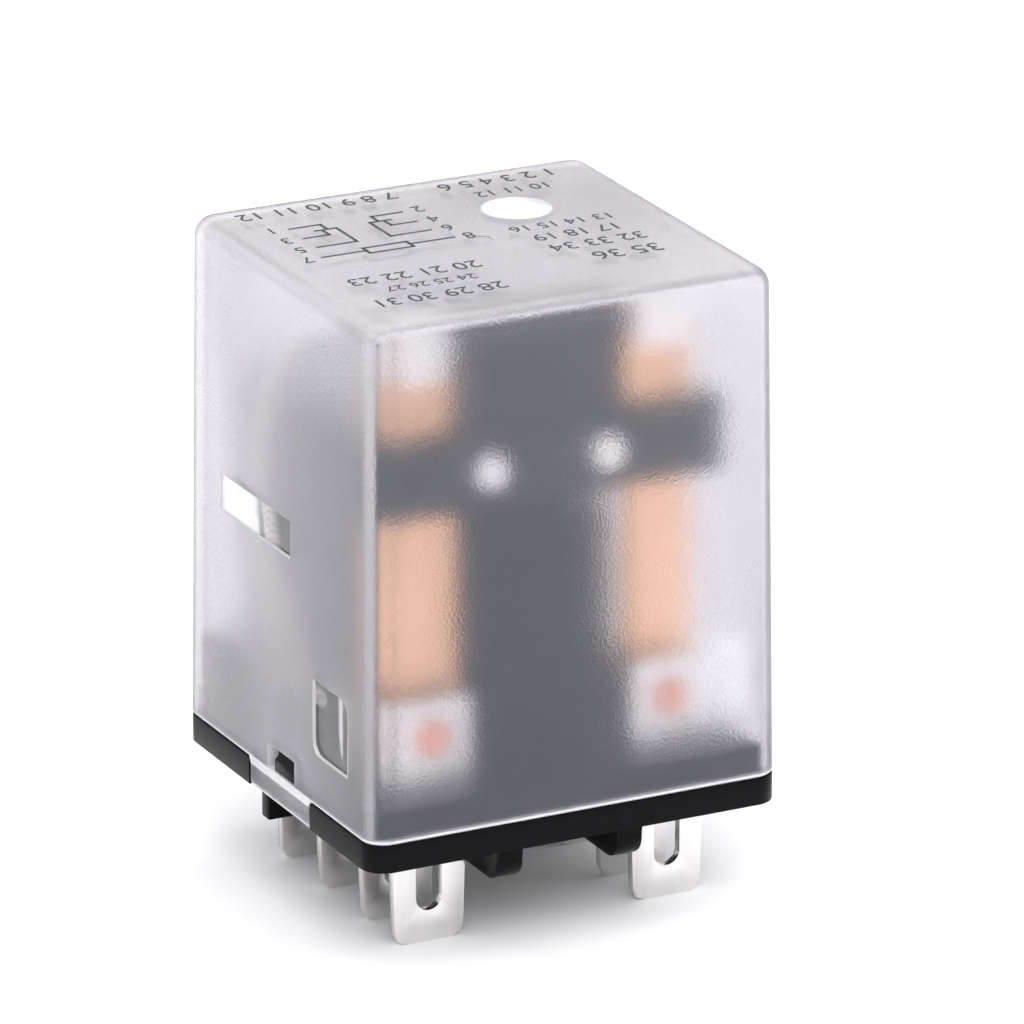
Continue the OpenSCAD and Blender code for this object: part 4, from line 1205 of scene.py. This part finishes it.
class RELAY_OT_print(Operator):
    """Prints a generic circuit diagram, its pin numbers and rows of plain numbers on the top"""

    bl_idname = "relay.print"
    bl_label = "Print"

    def execute(self, context):
        s = context.scene.relay_case
        top = CASE_HIGH[Z]
        self.low, self.high = top - s.ink - 0.01 * MM, top
        self.marks = []
        for row in ROWS:
            self.number(*row)
        self.diagram()
        ink = join(self.marks, "top_print")
        ink.data.materials.clear()
        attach(coat(ink, "printed_ink"), "base")
        return {"FINISHED"}

    def line(self, *points, width=0.28):
        """Thin line through points given in millimetres, each step along X or Y."""
        for xs, ys in (zip(*ends) for ends in zip(points, points[1:])):
            low = [(min(pair) - width / 2) * MM for pair in (xs, ys)]
            high = [(max(pair) + width / 2) * MM for pair in (xs, ys)]
            self.marks.append(block("mark", (*low, self.low), (*high, self.high)))

    def number(self, text, x, y, size=2.1):
        """Number that reads from the back of the relay."""
        bpy.ops.object.select_all(action="DESELECT")
        bpy.ops.object.text_add(location=(x * MM, y * MM, self.low), rotation=(0, 0, math.pi))
        mark = bpy.context.active_object
        mark.data.body = text
        mark.data.size = size * MM
        mark.data.align_x = mark.data.align_y = "CENTER"
        mark.data.extrude = (self.high - self.low) / 2
        mark.location[Z] += mark.data.extrude
        bpy.ops.object.convert(target="MESH")
        bpy.ops.object.transform_apply(location=True, rotation=True, scale=True)
        self.marks.append(bpy.context.active_object)

    def diagram(self):
        """Two changeover contacts and a coil between their pin numbers."""
        for x, sign in ((-12.6, 1), (-2.7, -1)):
            outer = x - sign * 0.2
            self.line((outer, 9.6), (x + sign * 2.6, 9.6), (x + sign * 2.6, 8.3))
            self.line((outer, 6.8), (x + sign * 2.1, 6.8), (x + sign * 2.1, 8.0))
            self.line((outer, 4.2), (x + sign * 3.4, 4.2), (x + sign * 3.4, 8.2), (x + sign * 1.5, 8.2))
        self.line((-13.6, 1.6), (-9.6, 1.6))
        self.line((-5.6, 1.6), (-1.6, 1.6))
        self.line((-9.6, 0.9), (-5.6, 0.9), (-5.6, 2.3), (-9.6, 2.3), (-9.6, 0.9))
        for pin in PINS:
            self.number(*pin)


# ---- Studio ----

CAMERA_AIM = Vector((2.0, -2.0, 32.21)) * MM
# Name, place and size in metres, and power in watts.
SOFTBOXES = (("key", (-0.15, -0.40, 0.45), 0.35, 0.9), ("fill", (0.45, -0.05, 0.30), 0.30, 0.6))


class RELAY_OT_stage(Operator):
    """Sets the white floor, the soft light and the camera"""

    bl_idname = "relay.stage"
    bl_label = "Stage"

    def execute(self, context):
        s = context.scene.relay_studio
        floor = add("plane", "studio_paper", size=6, location=(0, 0, 0))
        coat(floor, "studio_floor")
        world = bpy.data.worlds.new("white_room")
        context.scene.world = world
        world.use_nodes = True
        tree = world.node_tree
        background = tree.nodes["Background"]
        background.inputs["Color"].default_value = linear("#FDFCFF")
        where = add_node(tree, "ShaderNodeTexCoord")
        parts = add_node(tree, "ShaderNodeSeparateXYZ", links={"Vector": where.outputs["Generated"]})
        ends = {"From Min": 0.02, "From Max": 0.55, "To Min": s.horizon, "To Max": s.sky}
        rise = add_node(tree, "ShaderNodeMapRange", ends, {"Value": parts.outputs["Z"]})
        tree.links.new(rise.outputs["Result"], background.inputs["Strength"])
        level = math.cos(s.elevation)
        look = Vector((math.sin(s.azimuth) * level, -math.cos(s.azimuth) * level, math.sin(s.elevation)))
        turn = look.to_track_quat("Z", "Y").to_euler()
        bpy.ops.object.camera_add(location=CAMERA_AIM + look * s.distance, rotation=turn)
        camera = context.active_object
        camera.name = "camera"
        camera.data.lens = s.lens
        camera.data.sensor_width = 36
        camera.data.clip_start = 0.01
        context.scene.camera = camera
        for light in SOFTBOXES:
            self.softbox(*light)
        context.scene.view_settings.view_transform = "Standard"
        return {"FINISHED"}

    def softbox(self, name, place, size, power):
        """Square soft light that faces the relay."""
        away = Vector(place) - (CASE_LOW + CASE_HIGH) / 2
        turn = away.to_track_quat("Z", "Y").to_euler()
        bpy.ops.object.light_add(type="AREA", location=place, rotation=turn)
        light = bpy.context.active_object
        light.name = name
        light.data.size = size
        light.data.energy = power


# ---- Panel and run ----


class RELAY_PT_pieces(Panel):
    """Lists the relay's sizes and the operators that build its pieces"""

    bl_idname = "RELAY_PT_pieces"
    bl_label = "Relay"
    bl_space_type = "VIEW_3D"
    bl_region_type = "UI"
    bl_category = "Relay"

    def draw(self, context):
        for operator in OPERATORS:
            self.layout.operator(operator.bl_idname)
        for name in GROUPS:
            group = getattr(context.scene, name)
            box = self.layout.box()
            for key in group.bl_rna.properties.keys():
                if key not in ("name", "rna_type"):
                    box.prop(group, key)


OPERATORS = (
    RELAY_OT_stage, RELAY_OT_case, RELAY_OT_base, RELAY_OT_terminals, RELAY_OT_contacts, RELAY_OT_springs,
    RELAY_OT_carrier, RELAY_OT_armature, RELAY_OT_yoke, RELAY_OT_core, RELAY_OT_coil, RELAY_OT_return_spring,
    RELAY_OT_leads, RELAY_OT_print,
)
GROUPS = {
    "relay_case": CaseSizes,
    "relay_base": BaseSizes,
    "relay_contacts": ContactSizes,
    "relay_magnet": MagnetSizes,
    "relay_finishes": Finishes,
    "relay_studio": StudioSettings,
}


def register():
    for group in GROUPS.values():
        bpy.utils.register_class(group)
    for name, group in GROUPS.items():
        setattr(bpy.types.Scene, name, PointerProperty(type=group))
    for cls in (*OPERATORS, RELAY_PT_pieces):
        bpy.utils.register_class(cls)


def unregister():
    for cls in (RELAY_PT_pieces, *reversed(OPERATORS)):
        bpy.utils.unregister_class(cls)
    for name, group in GROUPS.items():
        delattr(bpy.types.Scene, name)
        bpy.utils.unregister_class(group)


def main():
    register()
    for operator in OPERATORS:
        family, word = operator.bl_idname.split(".")
        getattr(getattr(bpy.ops, family), word)()


if __name__ == "__main__":
    main()
